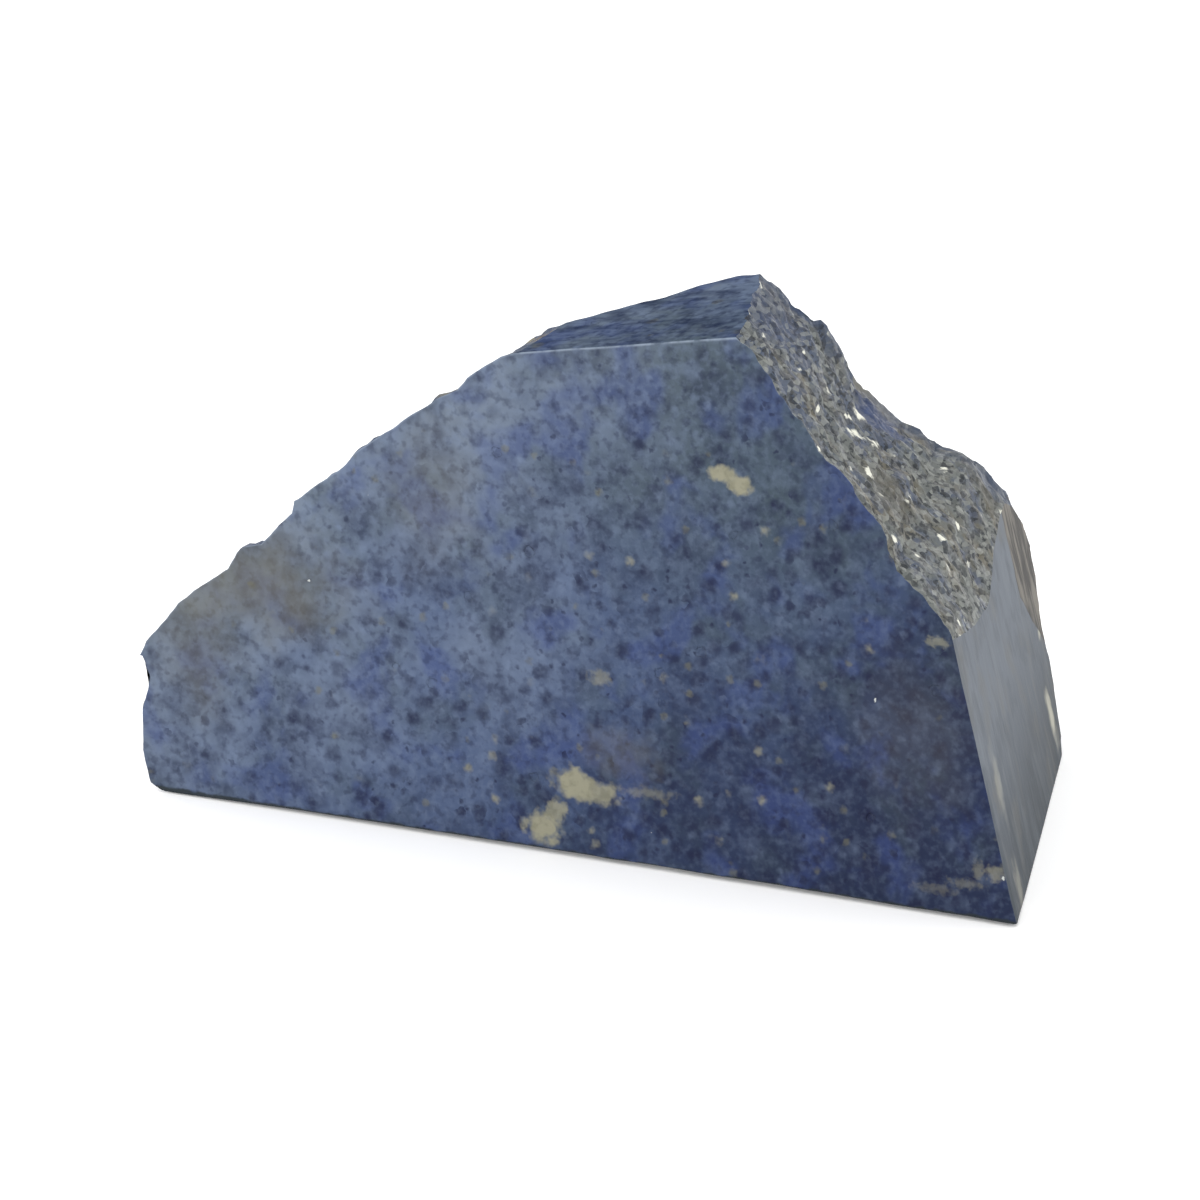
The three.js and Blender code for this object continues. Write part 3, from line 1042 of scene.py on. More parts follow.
    def specks(self, specks: Specks, place: Socket | None = None) -> Socket:
        """Specks: the middles of some cells, in a slightly warped place.

        Args:
            specks: Their size and layout.
            place: Where they are laid out, if not at the stone's place.

        Returns:
            1 in a speck, 0 outside.
        """
        radius, apart = specks.radius, specks.apart
        warp = self.add(
            "ShaderNodeTexNoise", Vector=self.place, Scale=self.SPECK_WARP / radius, Detail=1.0
        )
        sway = self.add("ShaderNodeVectorMath", Vector=warp.outputs["Color"])
        sway.operation = "SCALE"
        sway.inputs["Scale"].default_value = self.SPECK_SWAY * radius
        shifted = self.add("ShaderNodeVectorMath")
        shifted.operation = "ADD"
        self.give(shifted.inputs[0], sway.outputs["Vector"])
        self.give(shifted.inputs[1], place or self.place)
        layout = self.add("ShaderNodeMapping", Vector=shifted.outputs["Vector"])
        layout.inputs["Location"].default_value = [specks.seed * part for part in self.SEED_SHIFT]
        cells = self.cells(apart, layout.outputs["Vector"])
        luck, width, _ = self.shares(cells)
        reach = self.sums("MULTIPLY_ADD", width, radius / apart, self.LEAST_SPECK * radius / apart)
        inside = self.sums("DIVIDE", cells.outputs["Distance"], reach)
        spot = self.ramp(inside, Step(1.0 + specks.soft, 1.0 - specks.soft))
        return self.sums("MULTIPLY", spot, self.sums("LESS_THAN", luck, specks.chosen))

    def patch(self, mark: Marking) -> Socket:
        """1 in a marking, 0 outside: the distance from its middle in radii, plus noise, to 1."""
        moved = self.add("ShaderNodeMapping", Vector=self.place)
        moved.vector_type = "TEXTURE"
        moved.inputs["Location"].default_value = mark.middle
        moved.inputs["Scale"].default_value = mark.radii
        length = self.add("ShaderNodeVectorMath", Vector=moved.outputs["Vector"])
        length.operation = "LENGTH"
        size = self.RIM_SIZE * (mark.radii[0] * mark.radii[2]) ** 0.5
        rim = self.sums("SUBTRACT", self.noise(Noise(size, self.RIM_DETAIL, self.RIM_WARP)), 0.5)
        height = self.RIM_HEIGHT * mark.ragged
        distance = self.sums("MULTIPLY_ADD", rim, height, length.outputs["Value"])
        return self.ramp(distance, Step(1.0 + mark.soft, 1.0 - mark.soft))

    def marked(self, colour: Socket, markings: tuple[Marking, ...], paint: object) -> Socket:
        """A colour with some markings laid over it.

        Args:
            colour: What is under them.
            markings: Where they are.
            paint: Their own colour.

        Returns:
            The colour with the markings.
        """
        for mark in markings:
            colour = self.mix(self.sums("MULTIPLY", self.patch(mark), mark.strength), colour, paint)
        return colour

    def worn(self, colour: Socket, edge: Step, wear: Cloud) -> Socket:
        """A colour with the pale edges of the cuts laid over it, broken by noise: partly chipped wear,
        partly a painted highlight.

        Args:
            colour: What is under them.
            edge: How much of them shows.
            wear: Their colour and the noise.

        Returns:
            The colour with the edges.
        """
        uneven = self.ramp(self.noise(wear.noise), wear.step)
        cover = self.sums("MULTIPLY", self.ramp(self.attribute("edge"), edge), uneven)
        return self.mix(cover, colour, wear.paint)

    def bump(self, height: Socket, depth: float, under: Socket | None = None) -> Socket:
        """Fine relief.

        Args:
            height: Height from 0 to 1.
            depth: What 1 stands for, in millimetres.
            under: Relief that this one lies on.

        Returns:
            The bent normal.
        """
        node = self.add("ShaderNodeBump", Height=height, Distance=depth * MM)
        if under is not None:
            self.give(node.inputs["Normal"], under)
        return node.outputs["Normal"]

    def finish(
        self, colour: Socket, roughness: object, normal: Socket, specular: float
    ) -> bpy.types.Material:
        """Ends the material in one glossy and matt surface shader.

        Args:
            colour: Base colour.
            roughness: A number or a socket.
            normal: The bent normal.
            specular: Level of the shine.

        Returns:
            The material.
        """
        shader = self.add("ShaderNodeBsdfPrincipled", Base_Color=colour, Normal=normal)
        self.give(shader.inputs["Roughness"], roughness)
        shader.inputs["Specular IOR Level"].default_value = specular
        output = self.add("ShaderNodeOutputMaterial")
        self.links.new(shader.outputs["BSDF"], output.inputs["Surface"])
        return self.material


@dataclass(frozen=True)
class SawnBlue:
    """Sawn dumortierite: a soft cloudy blue with navy, pale and tan specks, satin.

    Attributes:
        name: Name of the material.
        painted_shade: How far the colour is darkened as painted shade, for a face that gets less
            light. If it is, there are streaks from the saw too.
        roughness: Roughness of the shine.
        specular: Level of the shine.
    """

    name: str = "sawn_blue"
    painted_shade: float = 0.0
    roughness: float = 0.5
    specular: float = 0.15

    deep: Colour = srgb(25, 35, 61)
    blue: Colour = srgb(60, 76, 110)
    royal: Colour = srgb(50, 64, 112)
    pale: Colour = srgb(106, 117, 132)
    olive: Colour = srgb(56, 68, 74)
    brown: Colour = srgb(98, 95, 78)
    navy: Colour = srgb(18, 24, 52)
    lavender: Colour = srgb(106, 120, 144)
    tan: Colour = srgb(98, 97, 80)
    cream: Colour = srgb(134, 132, 114)
    # Painted contact shadow along the foot.
    contact_shadow: Colour = srgb(36, 42, 44)
    # Painted glints: small bright specks of highlight.
    glint: Colour = srgb(180, 184, 182)
    # Pale edges of the cuts: partly chipped wear, partly a painted highlight.
    worn: Colour = srgb(138, 150, 166)

    # Large clouds on a slope in x, and where along the two the deep colour turns blue and pale: partly
    # the stone's own colour, partly painted light and shade.
    lean: float = -0.9
    swell: Noise = Noise(15, 4, 0.6)
    swell_height: float = 70.0
    to_blue: Step = Step(54, 109)
    to_pale: Step = Step(74, 159)
    # How much of the light and the dark layers shows: per paleness, and where there is none.
    light: Pair = (0.55, 0.45)
    dark: Pair = (-0.5, 0.78)
    # The duller upper right, and clouds of a few millimetres.
    upper_right: Marking = Marking((-29, 0, 44), (17, 12, 15), strength=0.75, ragged=0.4, soft=0.9)
    clouds: tuple[Cloud, ...] = (
        Cloud(olive, Noise(7, 4, 0.4, 1), Step(0.46, 0.66, 0.4)),
        Cloud(deep, Noise(4.5, 4, 0.3, 2), Step(0.47, 0.64, 0.42)),
        Cloud(royal, Noise(6.5, 3, 0.3, 12), Step(0.5, 0.64, 0.5)),
    )
    mottle: Cloud = Cloud(lavender, Noise(3.0, 4, 0.3, 3), Step(0.5, 0.66, 0.35))
    # Specks and how much of them shows, and a fine grain.
    navy_specks: tuple[Specks, ...] = (
        Specks(2.6, 0.75, 0.8, 1.0, 0.7), Specks(1.6, 0.4, 0.6, 2.0, 0.5),
    )
    lavender_specks: Specks = Specks(2.0, 0.5, 0.6, 3.0, 0.6)
    lavender_share: float = 0.4
    tan_specks: Specks = Specks(2.4, 0.45, 0.32, 4.0, 0.6)
    tan_share: float = 0.5
    cream_specks: Specks = Specks(3.6, 0.5, 0.4, 6.0, 0.8)
    cream_share: Step = Step(0.6, 0.1, 0.65)
    light_grain: Cloud = Cloud(lavender, Noise(0.8, 2, 0.0, 4), Step(0.42, 0.7, 0.3))
    dark_grain: Cloud = Cloud(navy, Noise(1.0, 2, 0.0, 5), Step(0.48, 0.68, 0.4))
    # Painted glints, laid out as specks.
    glints: Specks = Specks(3.4, 0.26, 0.12, 5.0)
    # What the cream patches consist of, the streaks from the saw, the worn edges with their painted
    # highlight.
    matrix: Cloud = Cloud(tan, Noise(1.1, 3, 0.2, 6), Step(0.45, 0.7, 0.5))
    streaks: Cloud = Cloud(deep, Noise(1.4, 3, 0.2, 14), Step(0.42, 0.66, 0.45))
    streak_scale: Triple = (0.2, 1.0, 1.0)
    edge: Step = Step(0.3, 1.0, 0.85)
    wear: Cloud = Cloud(worn, Noise(1.6, 2, 0.0, 10), Step(0.3, 0.6))
    # Painted contact shadow along the foot: the noise in its upper edge, and where it lies.
    foot: Noise = Noise(1.2, 2, 0.0, 13)
    contact_shadow_height: float = 0.7
    contact_shadow_step: Step = Step(1.1, 0.8, 0.9)
    # Relief, with depths in millimetres.
    grain: Noise = Noise(0.5, 3, 0.0, 7)
    grain_depth: float = 0.05
    pits: Specks = Specks(3.6, 0.4, 0.3, 9.0)
    pit_depth: float = 0.15

    creams: tuple[Marking, ...] = (
        Marking((-47.4, 0, 7.8), (2.1, 2, 1.5)),
        Marking((-45.1, 0, 7.2), (2.2, 2, 1.2), strength=0.85),
        Marking((-49.4, 0, 4.6), (1.1, 2, 1.2), strength=0.8),
        Marking((-50.8, 0, 2.6), (1.8, 2, 1.5)),
        Marking((-31.5, 0, 41.8), (1.4, 2, 0.8), ragged=0.3),
        Marking((-29.7, 0, 40.9), (1.3, 2, 0.9), ragged=0.3),
        Marking((-39.7, 0, 8.0), (2.4, 2, 0.5), strength=0.35, ragged=0.8, soft=0.7),
        Marking((-44.5, 0, 19.2), (1.1, 1.5, 0.7), strength=0.45, soft=0.5),
        Marking((-8.6, 0, 2.7), (1.8, 2, 0.4), strength=0.22, ragged=0.9, soft=0.8),
        Marking((-5.6, 0, 3.7), (1.4, 2, 0.4), strength=0.28, ragged=0.9, soft=0.8),
        Marking((-4.2, 0, 5.3), (0.5, 2, 1.0), strength=0.36, ragged=0.6, soft=0.6),
        Marking((-2.4, 0, 5.2), (1.0, 2, 0.7), strength=0.5, ragged=0.6, soft=0.5),
        Marking((-8.8, 0, 27.9), (1.1, 2, 0.5), strength=0.5, ragged=0.6, soft=0.5),
    )
    browns: tuple[Marking, ...] = (
        Marking((-82.5, 0, 24.0), (8.0, 5, 4.5), strength=0.5, soft=0.8),
        Marking((-62.8, 0, 35.5), (4.5, 5, 6.0), strength=0.22, soft=0.8),
        Marking((-89.5, 0, 17.0), (4.0, 5, 6.0), strength=0.3, soft=0.8),
        Marking((-42.3, 0, 11.7), (3.6, 4, 2.4), strength=0.25, soft=0.7),
        Marking((-11.0, 0, 18.0), (5.0, 5, 6.0), strength=0.14, soft=0.8),
    )

    def material(self, corner: Vector) -> bpy.types.Material:
        """Makes the material.

        Args:
            corner: Where the stone's own origin is, in metres.

        Returns:
            The material.
        """
        bench = Bench(self.name, corner)
        mix, ramp, sums = bench.mix, bench.ramp, bench.sums

        # Paler towards the upper left, deeper towards the lower right, both in clouds: partly the
        # stone's own colour, partly painted light at the upper left and painted shade at the lower
        # right.
        lean = sums("MULTIPLY_ADD", bench.x, self.lean, bench.z)
        height = sums("MULTIPLY_ADD", bench.noise(self.swell), self.swell_height, lean)
        colour = mix(ramp(height, self.to_blue), self.deep, self.blue)
        paleness = ramp(height, self.to_pale)
        colour = mix(paleness, colour, self.pale)
        light = sums("MULTIPLY_ADD", paleness, *self.light)
        dark = sums("MULTIPLY_ADD", paleness, *self.dark)
        colour = bench.marked(colour, (self.upper_right,), self.olive)
        for cloud in self.clouds:
            colour = bench.clouded(colour, cloud)
        colour = bench.clouded(colour, self.mottle, light)

        # Specks and fine grain.
        for specks in self.navy_specks:
            colour = mix(sums("MULTIPLY", bench.specks(specks), dark), colour, self.navy)
        faint = sums("MULTIPLY", bench.specks(self.lavender_specks), self.lavender_share)
        colour = mix(sums("MULTIPLY", faint, light), colour, self.lavender)
        faint = sums("MULTIPLY", bench.specks(self.tan_specks), self.tan_share)
        colour = mix(faint, colour, self.tan)
        on_deep = sums("MULTIPLY", bench.specks(self.cream_specks), ramp(paleness, self.cream_share))
        colour = mix(on_deep, colour, self.cream)
        colour = bench.clouded(colour, self.light_grain, light)
        colour = bench.clouded(colour, self.dark_grain)

        # Markings, streaks, worn edges with their painted highlight, and the painted contact shadow
        # along the foot.
        colour = bench.marked(colour, self.browns, self.brown)
        colour = bench.marked(colour, self.creams, bench.clouded(self.cream, self.matrix))
        # Painted glints: small bright specks of highlight.
        colour = mix(bench.specks(self.glints), colour, self.glint)
        # Painted shade on the facet: its colour is darkened towards black, with streaks from the saw.
        if self.painted_shade:
            place = bench.stretched(self.streak_scale)
            colour = mix(self.painted_shade, bench.clouded(colour, self.streaks, place=place), BLACK)
        # Pale edges of the cuts: partly chipped wear, partly a painted highlight.
        colour = bench.worn(colour, self.edge, self.wear)
        # Painted contact shadow: a thin ragged dark line along the foot.
        foot = sums("MULTIPLY_ADD", bench.noise(self.foot), self.contact_shadow_height, bench.z)
        colour = mix(ramp(foot, self.contact_shadow_step), colour, self.contact_shadow)

        grain = bench.bump(bench.noise(self.grain), self.grain_depth)
        sound = sums("SUBTRACT", 1.0, bench.specks(self.pits))
        normal = bench.bump(sound, self.pit_depth, grain)
        return bench.finish(colour, self.roughness, normal, self.specular)


@dataclass(frozen=True)
class SawnEnd:
    """The sawn end: a smoother cut, greyer partly in the stone and partly as painted sheen, with
    streaks from the saw and a broken pale rim.

    Attributes:
        name: Name of the material.
        roughness: Roughness of the shine.
        specular: Level of the shine.
    """

    name: str = "sawn_end"
    roughness: float = 0.5
    specular: float = 0.05

    # Greyer than the front: partly the stone's own colour, partly painted sheen.
    grey_blue_and_sheen: Colour = srgb(96, 103, 112)
    deep: Colour = srgb(46, 52, 58)
    pale: Colour = srgb(120, 126, 132)
    tan: Colour = srgb(98, 97, 92)
    cream: Colour = srgb(176, 174, 160)
    shoulder: Colour = srgb(112, 108, 101)
    shoulder_dark: Colour = srgb(60, 58, 56)

    # Darker towards the foot; streaks along the height; clouds.
    low: Step = Step(20.0, 0.0, 0.8)
    streak_scale: Triple = (1.0, 1.0, 0.12)
    streaks: tuple[Cloud, ...] = (
        Cloud(pale, Noise(2.6, 3, 0.4, 1), Step(0.45, 0.75, 0.25)),
        Cloud(deep, Noise(1.8, 3, 0.4, 2), Step(0.5, 0.75, 0.2)),
    )
    clouds: tuple[Cloud, ...] = (
        Cloud(deep, Noise(3.5, 4, 0.4, 9), Step(0.46, 0.66, 0.25)),
        Cloud(tan, Noise(6, 3, 0.4, 3), Step(0.5, 0.7, 0.35)),
    )
    # The shoulder starts behind this y, further back below, with noise in its edge.
    shoulder_y: float = 44.5
    turn_per_z: float = -1.25
    turn_from: float = 22.5
    ragged: Noise = Noise(2.5, 2, 0.2, 7)
    ragged_depth: float = 2.0
    inside: Step = Step(0.7, 1.1)
    dark_edge: Step = Step(2.0, 0.8, 0.7)
    shoulder_scale: Triple = (1.0, 1.0, 0.25)
    shoulder_stone: Cloud = Cloud(shoulder, Noise(1.6, 3, 0.2, 8), Step(0.4, 0.62))
    # Worn edges, pale partly from chipped wear and partly as a painted highlight, and relief, with
    # depths in millimetres.
    edge: Step = Step(0.2, 1.0, 0.5)
    wear: Cloud = Cloud(pale, Noise(1.6, 2, 0.0, 6), Step(0.3, 0.6))
    grain: Noise = Noise(0.5, 3, 0.0, 4)
    grain_depth: float = 0.03
    saw_marks: Noise = Noise(1.0, 2, 0.0, 5)
    saw_depth: float = 0.05

    creams: tuple[Marking, ...] = (
        Marking((-16.0, 47.5, 4.7), (4, 1.3, 2.3), strength=0.85, ragged=0.6, soft=0.7),
        Marking((-18.8, 51.7, 12.1), (2, 1.0, 0.6), strength=0.7, ragged=0.6, soft=0.7),
        Marking((-5.4, 7.2, 11.6), (2, 1.4, 3.2), strength=0.3, ragged=0.6, soft=0.7),
        Marking((-2.5, 6.0, 2.0), (2, 1.5, 2.0), strength=0.3, ragged=0.6, soft=0.7),
    )

    def material(self, corner: Vector) -> bpy.types.Material:
        """Makes the material.

        Args:
            corner: Where the stone's own origin is, in metres.

        Returns:
            The material.
        """
        bench = Bench(self.name, corner)
        mix, ramp, sums = bench.mix, bench.ramp, bench.sums
        # Greyer than the front: partly the stone's own colour, partly painted sheen.
        colour = mix(ramp(bench.z, self.low), self.grey_blue_and_sheen, self.deep)
        along = bench.stretched(self.streak_scale)
        for cloud in self.streaks:
            colour = bench.clouded(colour, cloud, place=along)
        for cloud in self.clouds:
            colour = bench.clouded(colour, cloud)
        colour = bench.marked(colour, self.creams, self.cream)

        # The shoulder: unsawn brown stone behind a line that turns back at the cut's lower half.
        turn = sums("MAXIMUM", sums("MULTIPLY_ADD", bench.z, self.turn_per_z, self.turn_from), 0.0)
        beyond = sums("SUBTRACT", sums("SUBTRACT", bench.y, self.shoulder_y), turn)
        beyond = sums("MULTIPLY_ADD", bench.noise(self.ragged), self.ragged_depth, beyond)
        steep = bench.stretched(self.shoulder_scale)
        rough = bench.clouded(self.shoulder_dark, self.shoulder_stone, place=steep)
        rough = mix(ramp(beyond, self.dark_edge), rough, self.shoulder_dark)
        colour = mix(ramp(beyond, self.inside), colour, rough)
        # Pale rim of the cut: partly chipped wear, partly a painted highlight.
        colour = bench.worn(colour, self.edge, self.wear)

        grain = bench.bump(bench.noise(self.grain), self.grain_depth)
        normal = bench.bump(bench.noise(self.saw_marks, along), self.saw_depth, grain)
        return bench.finish(colour, self.roughness, normal, self.specular)


@dataclass(frozen=True)
class BrokenStone:
    """Broken and natural rough stone: grey grains with painted glints, bluer and duller on the crust.

    Attributes:
        name: Name of the material.
        specular: Level of the shine.
        roughness_span: How much the roughness of the grains differs.
        least_roughness: Roughness of the shiniest grain.
    """

    name: str = "broken_stone"
    specular: float = 0.2
    roughness_span: float = 0.45
    least_roughness: float = 0.35

    grey: Colour = srgb(98, 102, 100)
    brown: Colour = srgb(98, 95, 84)
    dark: Colour = srgb(36, 40, 44)
    pale: Colour = srgb(140, 143, 138)
    # Painted glints: bright specks of highlight.
    glint: Colour = srgb(226, 226, 212)
    blue: Colour = srgb(62, 74, 98)
    dull_blue: Colour = srgb(70, 78, 92)
    navy: Colour = srgb(30, 38, 60)
    vivid: Colour = srgb(60, 80, 126)
    cream: Colour = srgb(138, 133, 113)
    ochre: Colour = srgb(112, 95, 66)

    # The fresh break. Its grains are drawn out along one slanting direction, the glints along
    # another. Thin blue shows in clouds, and a little more of it high up.
    brown_clouds: Cloud = Cloud(brown, Noise(4.5, 3, 0.3, 11), Step(0.45, 0.62))
    grain_size: float = 0.55
    grain_scale: Triple = (1.0, 0.35, 1.0)
    grain_turn: Triple = (0.38, 0.0, -0.355)
    thin_blue: Noise = Noise(5, 3, 0.6, 1)
    thin_step: Step = Step(0.48, 0.64, 0.75)
    upper: Step = Step(34.0, 52.0, 0.12)
    dark_grains: Step = Step(0.5, 1.0, 0.7)
    pale_grains: Step = Step(0.6, 1.0, 0.6)
    # Painted shade in the gaps between the grains.
    gap_shade: Cloud = Cloud(dark, Noise(0.55, 3, 0.0, 2), Step(0.52, 0.6, 0.85))
    # Painted glints, drawn out.
    glint_specks: Specks = Specks(1.3, 0.34, 0.1, 2.0, 0.3)
    glint_scale: Triple = (0.6, 0.6, 1.0)
    glint_turn: Triple = (0.0, 0.8, 0.0)
    blue_lumps: Noise = Noise(1.0)
    brown_lumps: Noise = Noise(0.6)
    # The crust, and the cream matrix that only shows behind.
    crust_blue: Cloud = Cloud(blue, Noise(9, 4, 0.8, 3), Step(0.4, 0.62))
    crust_clouds: tuple[Cloud, ...] = (
        Cloud(navy, Noise(1.6, 3, 0.3, 4), Step(0.48, 0.68, 0.6)),
        Cloud(grey, Noise(2.1, 3, 0.3, 8), Step(0.5, 0.68, 0.4)),
    )
    behind: Step = Step(-24.0, -40.0)
    matrix: Cloud = Cloud(cream, Noise(13, 6, 0.3, 5), Step(0.55, 0.6, 0.85))
    rust: Cloud = Cloud(ochre, Noise(3.5, 4, 0.3, 6), Step(0.6, 0.68, 0.5))
    # Where the crust gives way to the fresh break: noise, its height and its shift.
    rim: Noise = Noise(5, 3, 0.5, 7)
    rim_height: Pair = (1.2, -0.6)
    rim_step: Step = Step(0.3, 0.6)
    # Relief, with depths in millimetres, and the size of the grains that shine alike.
    bump_size: float = 0.75
    bump_depth: float = 0.3
    fine: Noise = Noise(0.4, 3, 0.0, 9)
    fine_depth: float = 0.12
    shine_size: float = 0.9

    blues: tuple[Marking, ...] = (
        Marking((-29.3, 33, 39), (2.6, 8, 3.4), strength=0.8),
        Marking((-33, 15, 54), (5, 9, 4), strength=0.3, soft=0.6),
    )
    browns: tuple[Marking, ...] = (
        Marking((-20, 14, 37.6), (3.5, 6, 3.2), strength=0.6, soft=0.5),
        Marking((-21.5, 44, 30), (3, 4, 3), strength=0.6, soft=0.5),
    )
    # Painted glints at given places.
    glints: tuple[Marking, ...] = (
        Marking((-25.6, 18.6, 41.7), (0.6, 1.7, 1.5)),
        Marking((-28.3, 26, 41.2), (0.6, 1.5, 0.9)),
        Marking((-25.2, 23, 39.5), (0.6, 1.4, 0.7)),
        Marking((-21.6, 13, 39.6), (0.5, 1.2, 0.7)),
        Marking((-13.6, 16, 30.6), (0.6, 1.6, 0.9)),
    )

    def material(self, corner: Vector) -> bpy.types.Material:
        """Makes the material.

        Args:
            corner: Where the stone's own origin is, in metres.

        Returns:
            The material.
        """
        bench = Bench(self.name, corner)
        mix, ramp, sums = bench.mix, bench.ramp, bench.sums
        drawn = bench.stretched(self.grain_scale, self.grain_turn)
        fresh = self.fresh_break(bench, drawn)
        edge = sums("MULTIPLY_ADD", bench.noise(self.rim), *self.rim_height)
        worn = sums("ADD", bench.attribute("crust"), edge)
        colour = mix(ramp(worn, self.rim_step), fresh, self.crust(bench))

        cells = bench.cells(self.bump_size, drawn)
        coarse = bench.bump(sums("SUBTRACT", 1.0, cells.outputs["Distance"]), self.bump_depth)
        normal = bench.bump(bench.noise(self.fine, drawn), self.fine_depth, coarse)
        _, _, dullness = bench.shares(bench.cells(self.shine_size))
        roughness = sums("MULTIPLY_ADD", dullness, self.roughness_span, self.least_roughness)
        return bench.finish(colour, roughness, normal, self.specular)

    def fresh_break(self, bench: Bench, drawn: Socket) -> Socket:
        """Small grey grains, browner or bluer in clouds, with painted shade in the gaps and painted
        glints.

        Args:
            bench: The material's bench.
            drawn: The place that the grains are laid out in.

        Returns:
            The colour of the fresh break.
        """
        mix, ramp, sums = bench.mix, bench.ramp, bench.sums
        fresh = bench.clouded(self.grey, self.brown_clouds)
        darkness, paleness, _ = bench.shares(bench.cells(self.grain_size, drawn))
        thin = sums("ADD", bench.noise(self.thin_blue), ramp(bench.z, self.upper))
        fresh = mix(ramp(thin, self.thin_step), fresh, self.blue)
        fresh = mix(ramp(darkness, self.dark_grains), fresh, self.dark)
        # Painted shade in the gaps between the grains.
        fresh = bench.clouded(fresh, self.gap_shade, place=drawn)
        fresh = mix(ramp(paleness, self.pale_grains), fresh, self.pale)
        # Painted glints: bright specks of highlight.
        long = bench.stretched(self.glint_scale, self.glint_turn)
        fresh = mix(bench.specks(self.glint_specks, long), fresh, self.glint)
        lump = mix(bench.noise(self.blue_lumps), self.navy, self.vivid)
        fresh = bench.marked(fresh, self.blues, lump)
        lump = mix(bench.noise(self.brown_lumps), self.dark, self.brown)
        fresh = bench.marked(fresh, self.browns, lump)
        # Painted glints at given places.
        return bench.marked(fresh, self.glints, self.glint)

    def crust(self, bench: Bench) -> Socket:
        """The colour of the crust: dull blue with navy and a few patches of cream and ochre."""
        old = bench.clouded(self.dull_blue, self.crust_blue)
        for cloud in self.crust_clouds:
            old = bench.clouded(old, cloud)
        old = bench.clouded(old, self.matrix, bench.ramp(bench.x, self.behind))
        return bench.clouded(old, self.rust)


class Finish(Enum):
    """The finishes of the stone, in the order of its material slots."""

    SAWN = 0
    FACET = 1
    END = 2
    BROKEN = 3


FINISH_OF_SIDE: dict[Side, Finish] = {
    Side.FRONT: Finish.SAWN,
    Side.BASE: Finish.SAWN,
    Side.FACET: Finish.FACET,
    Side.END: Finish.END,
    **dict.fromkeys(ROUGH_SIDES, Finish.BROKEN),
}


StoneFinish = SawnBlue | SawnEnd | BrokenStone


def stone_finishes() -> dict[Finish, StoneFinish]:
    """What each finish is. The facet is the same sawn stone, streaked, darkened by painted shade and
    without shine.
    """
    return {
        Finish.SAWN: SawnBlue(),
        Finish.FACET: SawnBlue(name="sawn_facet_painted_shade", painted_shade=0.08, specular=0.0),
        Finish.END: SawnEnd(),
        Finish.BROKEN: BrokenStone(),
    }


@dataclass
class DumortieriteStone:
    """The stone: its surface and its finishes.

    Attributes:
        surface: The surface in stone coordinates.
        finishes: What each of its finishes is.
        fold: Angle in degrees from which a fold stays sharp.
    """

    surface: StoneMesh = field(default_factory=StoneMesh)
    finishes: dict[Finish, StoneFinish] = field(default_factory=stone_finishes)
    fold: float = 38.0

    def build(self) -> bpy.types.Object:
        """Builds the stone as one closed mesh in place of the plain solid.

        Returns:
            The finished piece.
        """
        low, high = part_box(NODE)
        corner = Vector((high[0], low[1], 0.0))
        self.surface.build()
        points = self.surface.points * MM + np.array(corner)
        mesh = bpy.data.meshes.new("rough_dumortierite")
        mesh.from_pydata(points.tolist(), [], self.surface.quads(tuple(Side)).tolist())
        for name, values in self.surface.values().items():
            layer = mesh.attributes.new(name, "FLOAT", "POINT")
            layer.data.foreach_set("value", values.astype(np.float32))
        slots = [
            np.full(len(self.surface.quads((side,))), FINISH_OF_SIDE[side].value) for side in Side
        ]
        mesh.polygons.foreach_set("material_index", np.concatenate(slots).astype(np.int32))
        mesh.polygons.foreach_set("use_smooth", np.ones(len(mesh.polygons), bool))
        self.sharpen(mesh)
        for finish in Finish:
            mesh.materials.append(self.finishes[finish].material(corner))
        mesh.update()
        piece = bpy.data.objects.new("rough_dumortierite", mesh)
        bpy.context.scene.collection.objects.link(piece)
        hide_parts(NODE)
        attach(piece, "root")
        return piece

    def sharpen(self, mesh: bpy.types.Mesh) -> None:
        """Marks the steep folds and the rims of the cuts as sharp."""
        mesh.set_sharp_from_angle(angle=np.radians(self.fold))
        ends = np.empty(2 * len(mesh.edges), np.int32)
        mesh.edges.foreach_get("vertices", ends)
        sharp = np.empty(len(mesh.edges), bool)
        mesh.edges.foreach_get("use_edge_sharp", sharp)
        sharp |= self.surface.on_cut_rims()[ends.reshape(-1, 2)].all(axis=1)
        mesh.edges.foreach_set("use_edge_sharp", sharp)


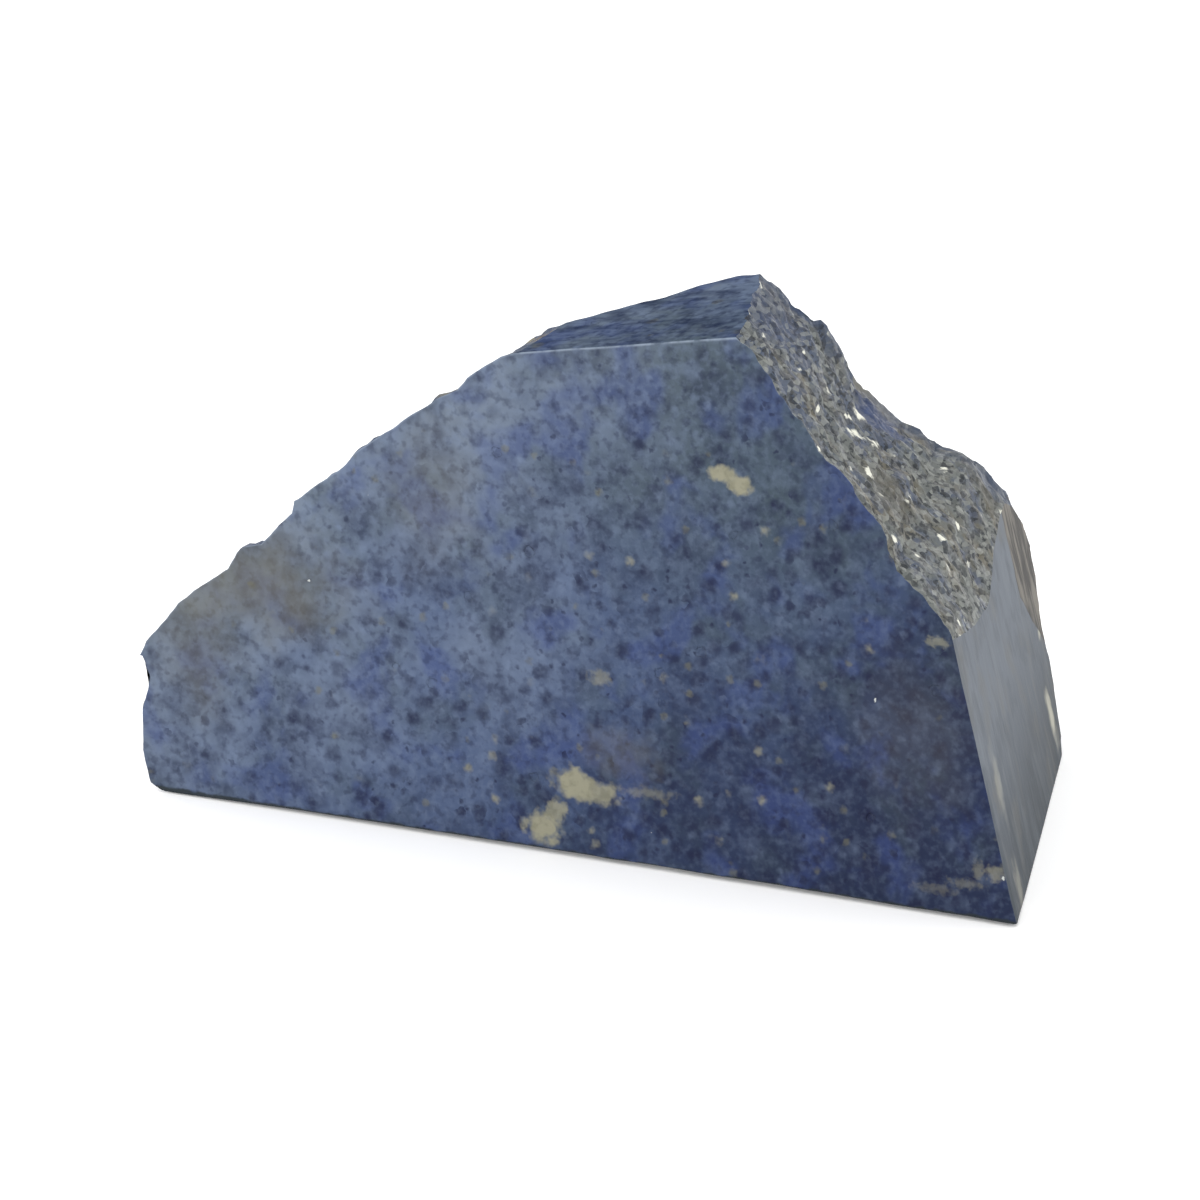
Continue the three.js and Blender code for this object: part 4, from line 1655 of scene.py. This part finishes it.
@dataclass
class Studio:
    """The pale floor, the soft white light and the camera.

    Attributes:
        floor_size: Side of the floor in metres.
        floor_drop: How far it lies under the stone, in metres.
        floor_colour: Colour of the floor.
        floor_glow: Light that the floor gives off.
        floor_roughness: Roughness of its shine.
        floor_specular: Level of its shine.
        sky: Strength of the even white light from all round.
        lamp_place: Where the lamp is, in metres.
        lamp_size: Its side in metres.
        lamp_power: Its power in watts.
        lamp_aim: The point that it faces, in metres.
        camera_offset: From the stone's near foot corner to the camera, in metres.
        right: The camera's right.
        up: The camera's up.
        back: From the scene towards the camera.
        lens: Focal length in millimetres.
        sensor: Width of the sensor in millimetres.
        clip_start: Nearest distance that is seen, in metres.
    """

    floor_size: float = 6.0
    floor_drop: float = 0.00005
    floor_colour: Colour = (0.95, 0.95, 0.95, 1.0)
    floor_glow: float = 0.15
    floor_roughness: float = 0.9
    floor_specular: float = 0.1
    sky: float = 1.3
    lamp_place: Triple = (-0.7, -0.75, 0.5)
    lamp_size: float = 0.6
    lamp_power: float = 2.5
    lamp_aim: Triple = (0.0, 0.0, 0.02)
    camera_offset: Triple = (0.2612, -0.6544, 0.2619)
    right: Triple = (0.9060, 0.4233, 0.0)
    up: Triple = (-0.1308, 0.2800, 0.9511)
    back: Triple = (0.4026, -0.8617, 0.3090)
    lens: float = 232.9
    sensor: float = 36.0
    clip_start: float = 0.01

    def build_floor(self) -> bpy.types.Object:
        """Builds a plain square floor just under the stone."""
        half, z = self.floor_size / 2, -self.floor_drop
        corners = [(-half, -half, z), (half, -half, z), (half, half, z), (-half, half, z)]
        mesh = bpy.data.meshes.new("floor")
        mesh.from_pydata(corners, [], [(0, 1, 2, 3)])
        material = bpy.data.materials.new("floor_white")
        material.use_nodes = True
        shader = material.node_tree.nodes["Principled BSDF"]
        shader.inputs["Base Color"].default_value = self.floor_colour
        shader.inputs["Emission Color"].default_value = WHITE
        shader.inputs["Emission Strength"].default_value = self.floor_glow
        shader.inputs["Roughness"].default_value = self.floor_roughness
        shader.inputs["Specular IOR Level"].default_value = self.floor_specular
        mesh.materials.append(material)
        floor = bpy.data.objects.new("floor", mesh)
        bpy.context.scene.collection.objects.link(floor)
        return floor

    def build_light(self) -> None:
        """Builds the white surroundings and one large soft lamp that faces the stone."""
        world = bpy.data.worlds.new("studio")
        world.use_nodes = True
        background = world.node_tree.nodes["Background"]
        background.inputs["Color"].default_value = WHITE
        background.inputs["Strength"].default_value = self.sky
        bpy.context.scene.world = world
        bpy.context.scene.view_settings.view_transform = "Standard"
        light = bpy.data.lights.new("key", "AREA")
        light.size = self.lamp_size
        light.energy = self.lamp_power
        lamp = bpy.data.objects.new("key", light)
        lamp.location = self.lamp_place
        aim = Vector(self.lamp_aim) - Vector(self.lamp_place)
        lamp.rotation_euler = aim.to_track_quat("-Z", "Y").to_euler()
        bpy.context.scene.collection.objects.link(lamp)

    def build_camera(self) -> bpy.types.Object:
        """Builds the camera at the photograph's angle: its axes are the three directions."""
        low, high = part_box(NODE)
        corner = Vector((high[0], low[1], 0.0))
        data = bpy.data.cameras.new("camera")
        data.sensor_width = self.sensor
        data.lens = self.lens
        data.clip_start = self.clip_start
        camera = bpy.data.objects.new("camera", data)
        axes = Matrix((self.right, self.up, self.back)).transposed()
        camera.matrix_world = Matrix.LocRotScale(
            corner + Vector(self.camera_offset), axes.to_quaternion(), None
        )
        bpy.context.scene.collection.objects.link(camera)
        bpy.context.scene.camera = camera
        return camera


def main() -> None:
    """Builds the stone and what shows it."""
    logging.basicConfig(level=logging.INFO, format="%(name)s: %(message)s")
    studio = Studio()
    studio.build_camera()
    studio.build_floor()
    studio.build_light()
    log.info("studio: floor, light and camera")
    stone = DumortieriteStone()
    piece = stone.build()
    log.info("%s: %d faces", piece.name, len(piece.data.polygons))


if __name__ == "__main__":
    main()
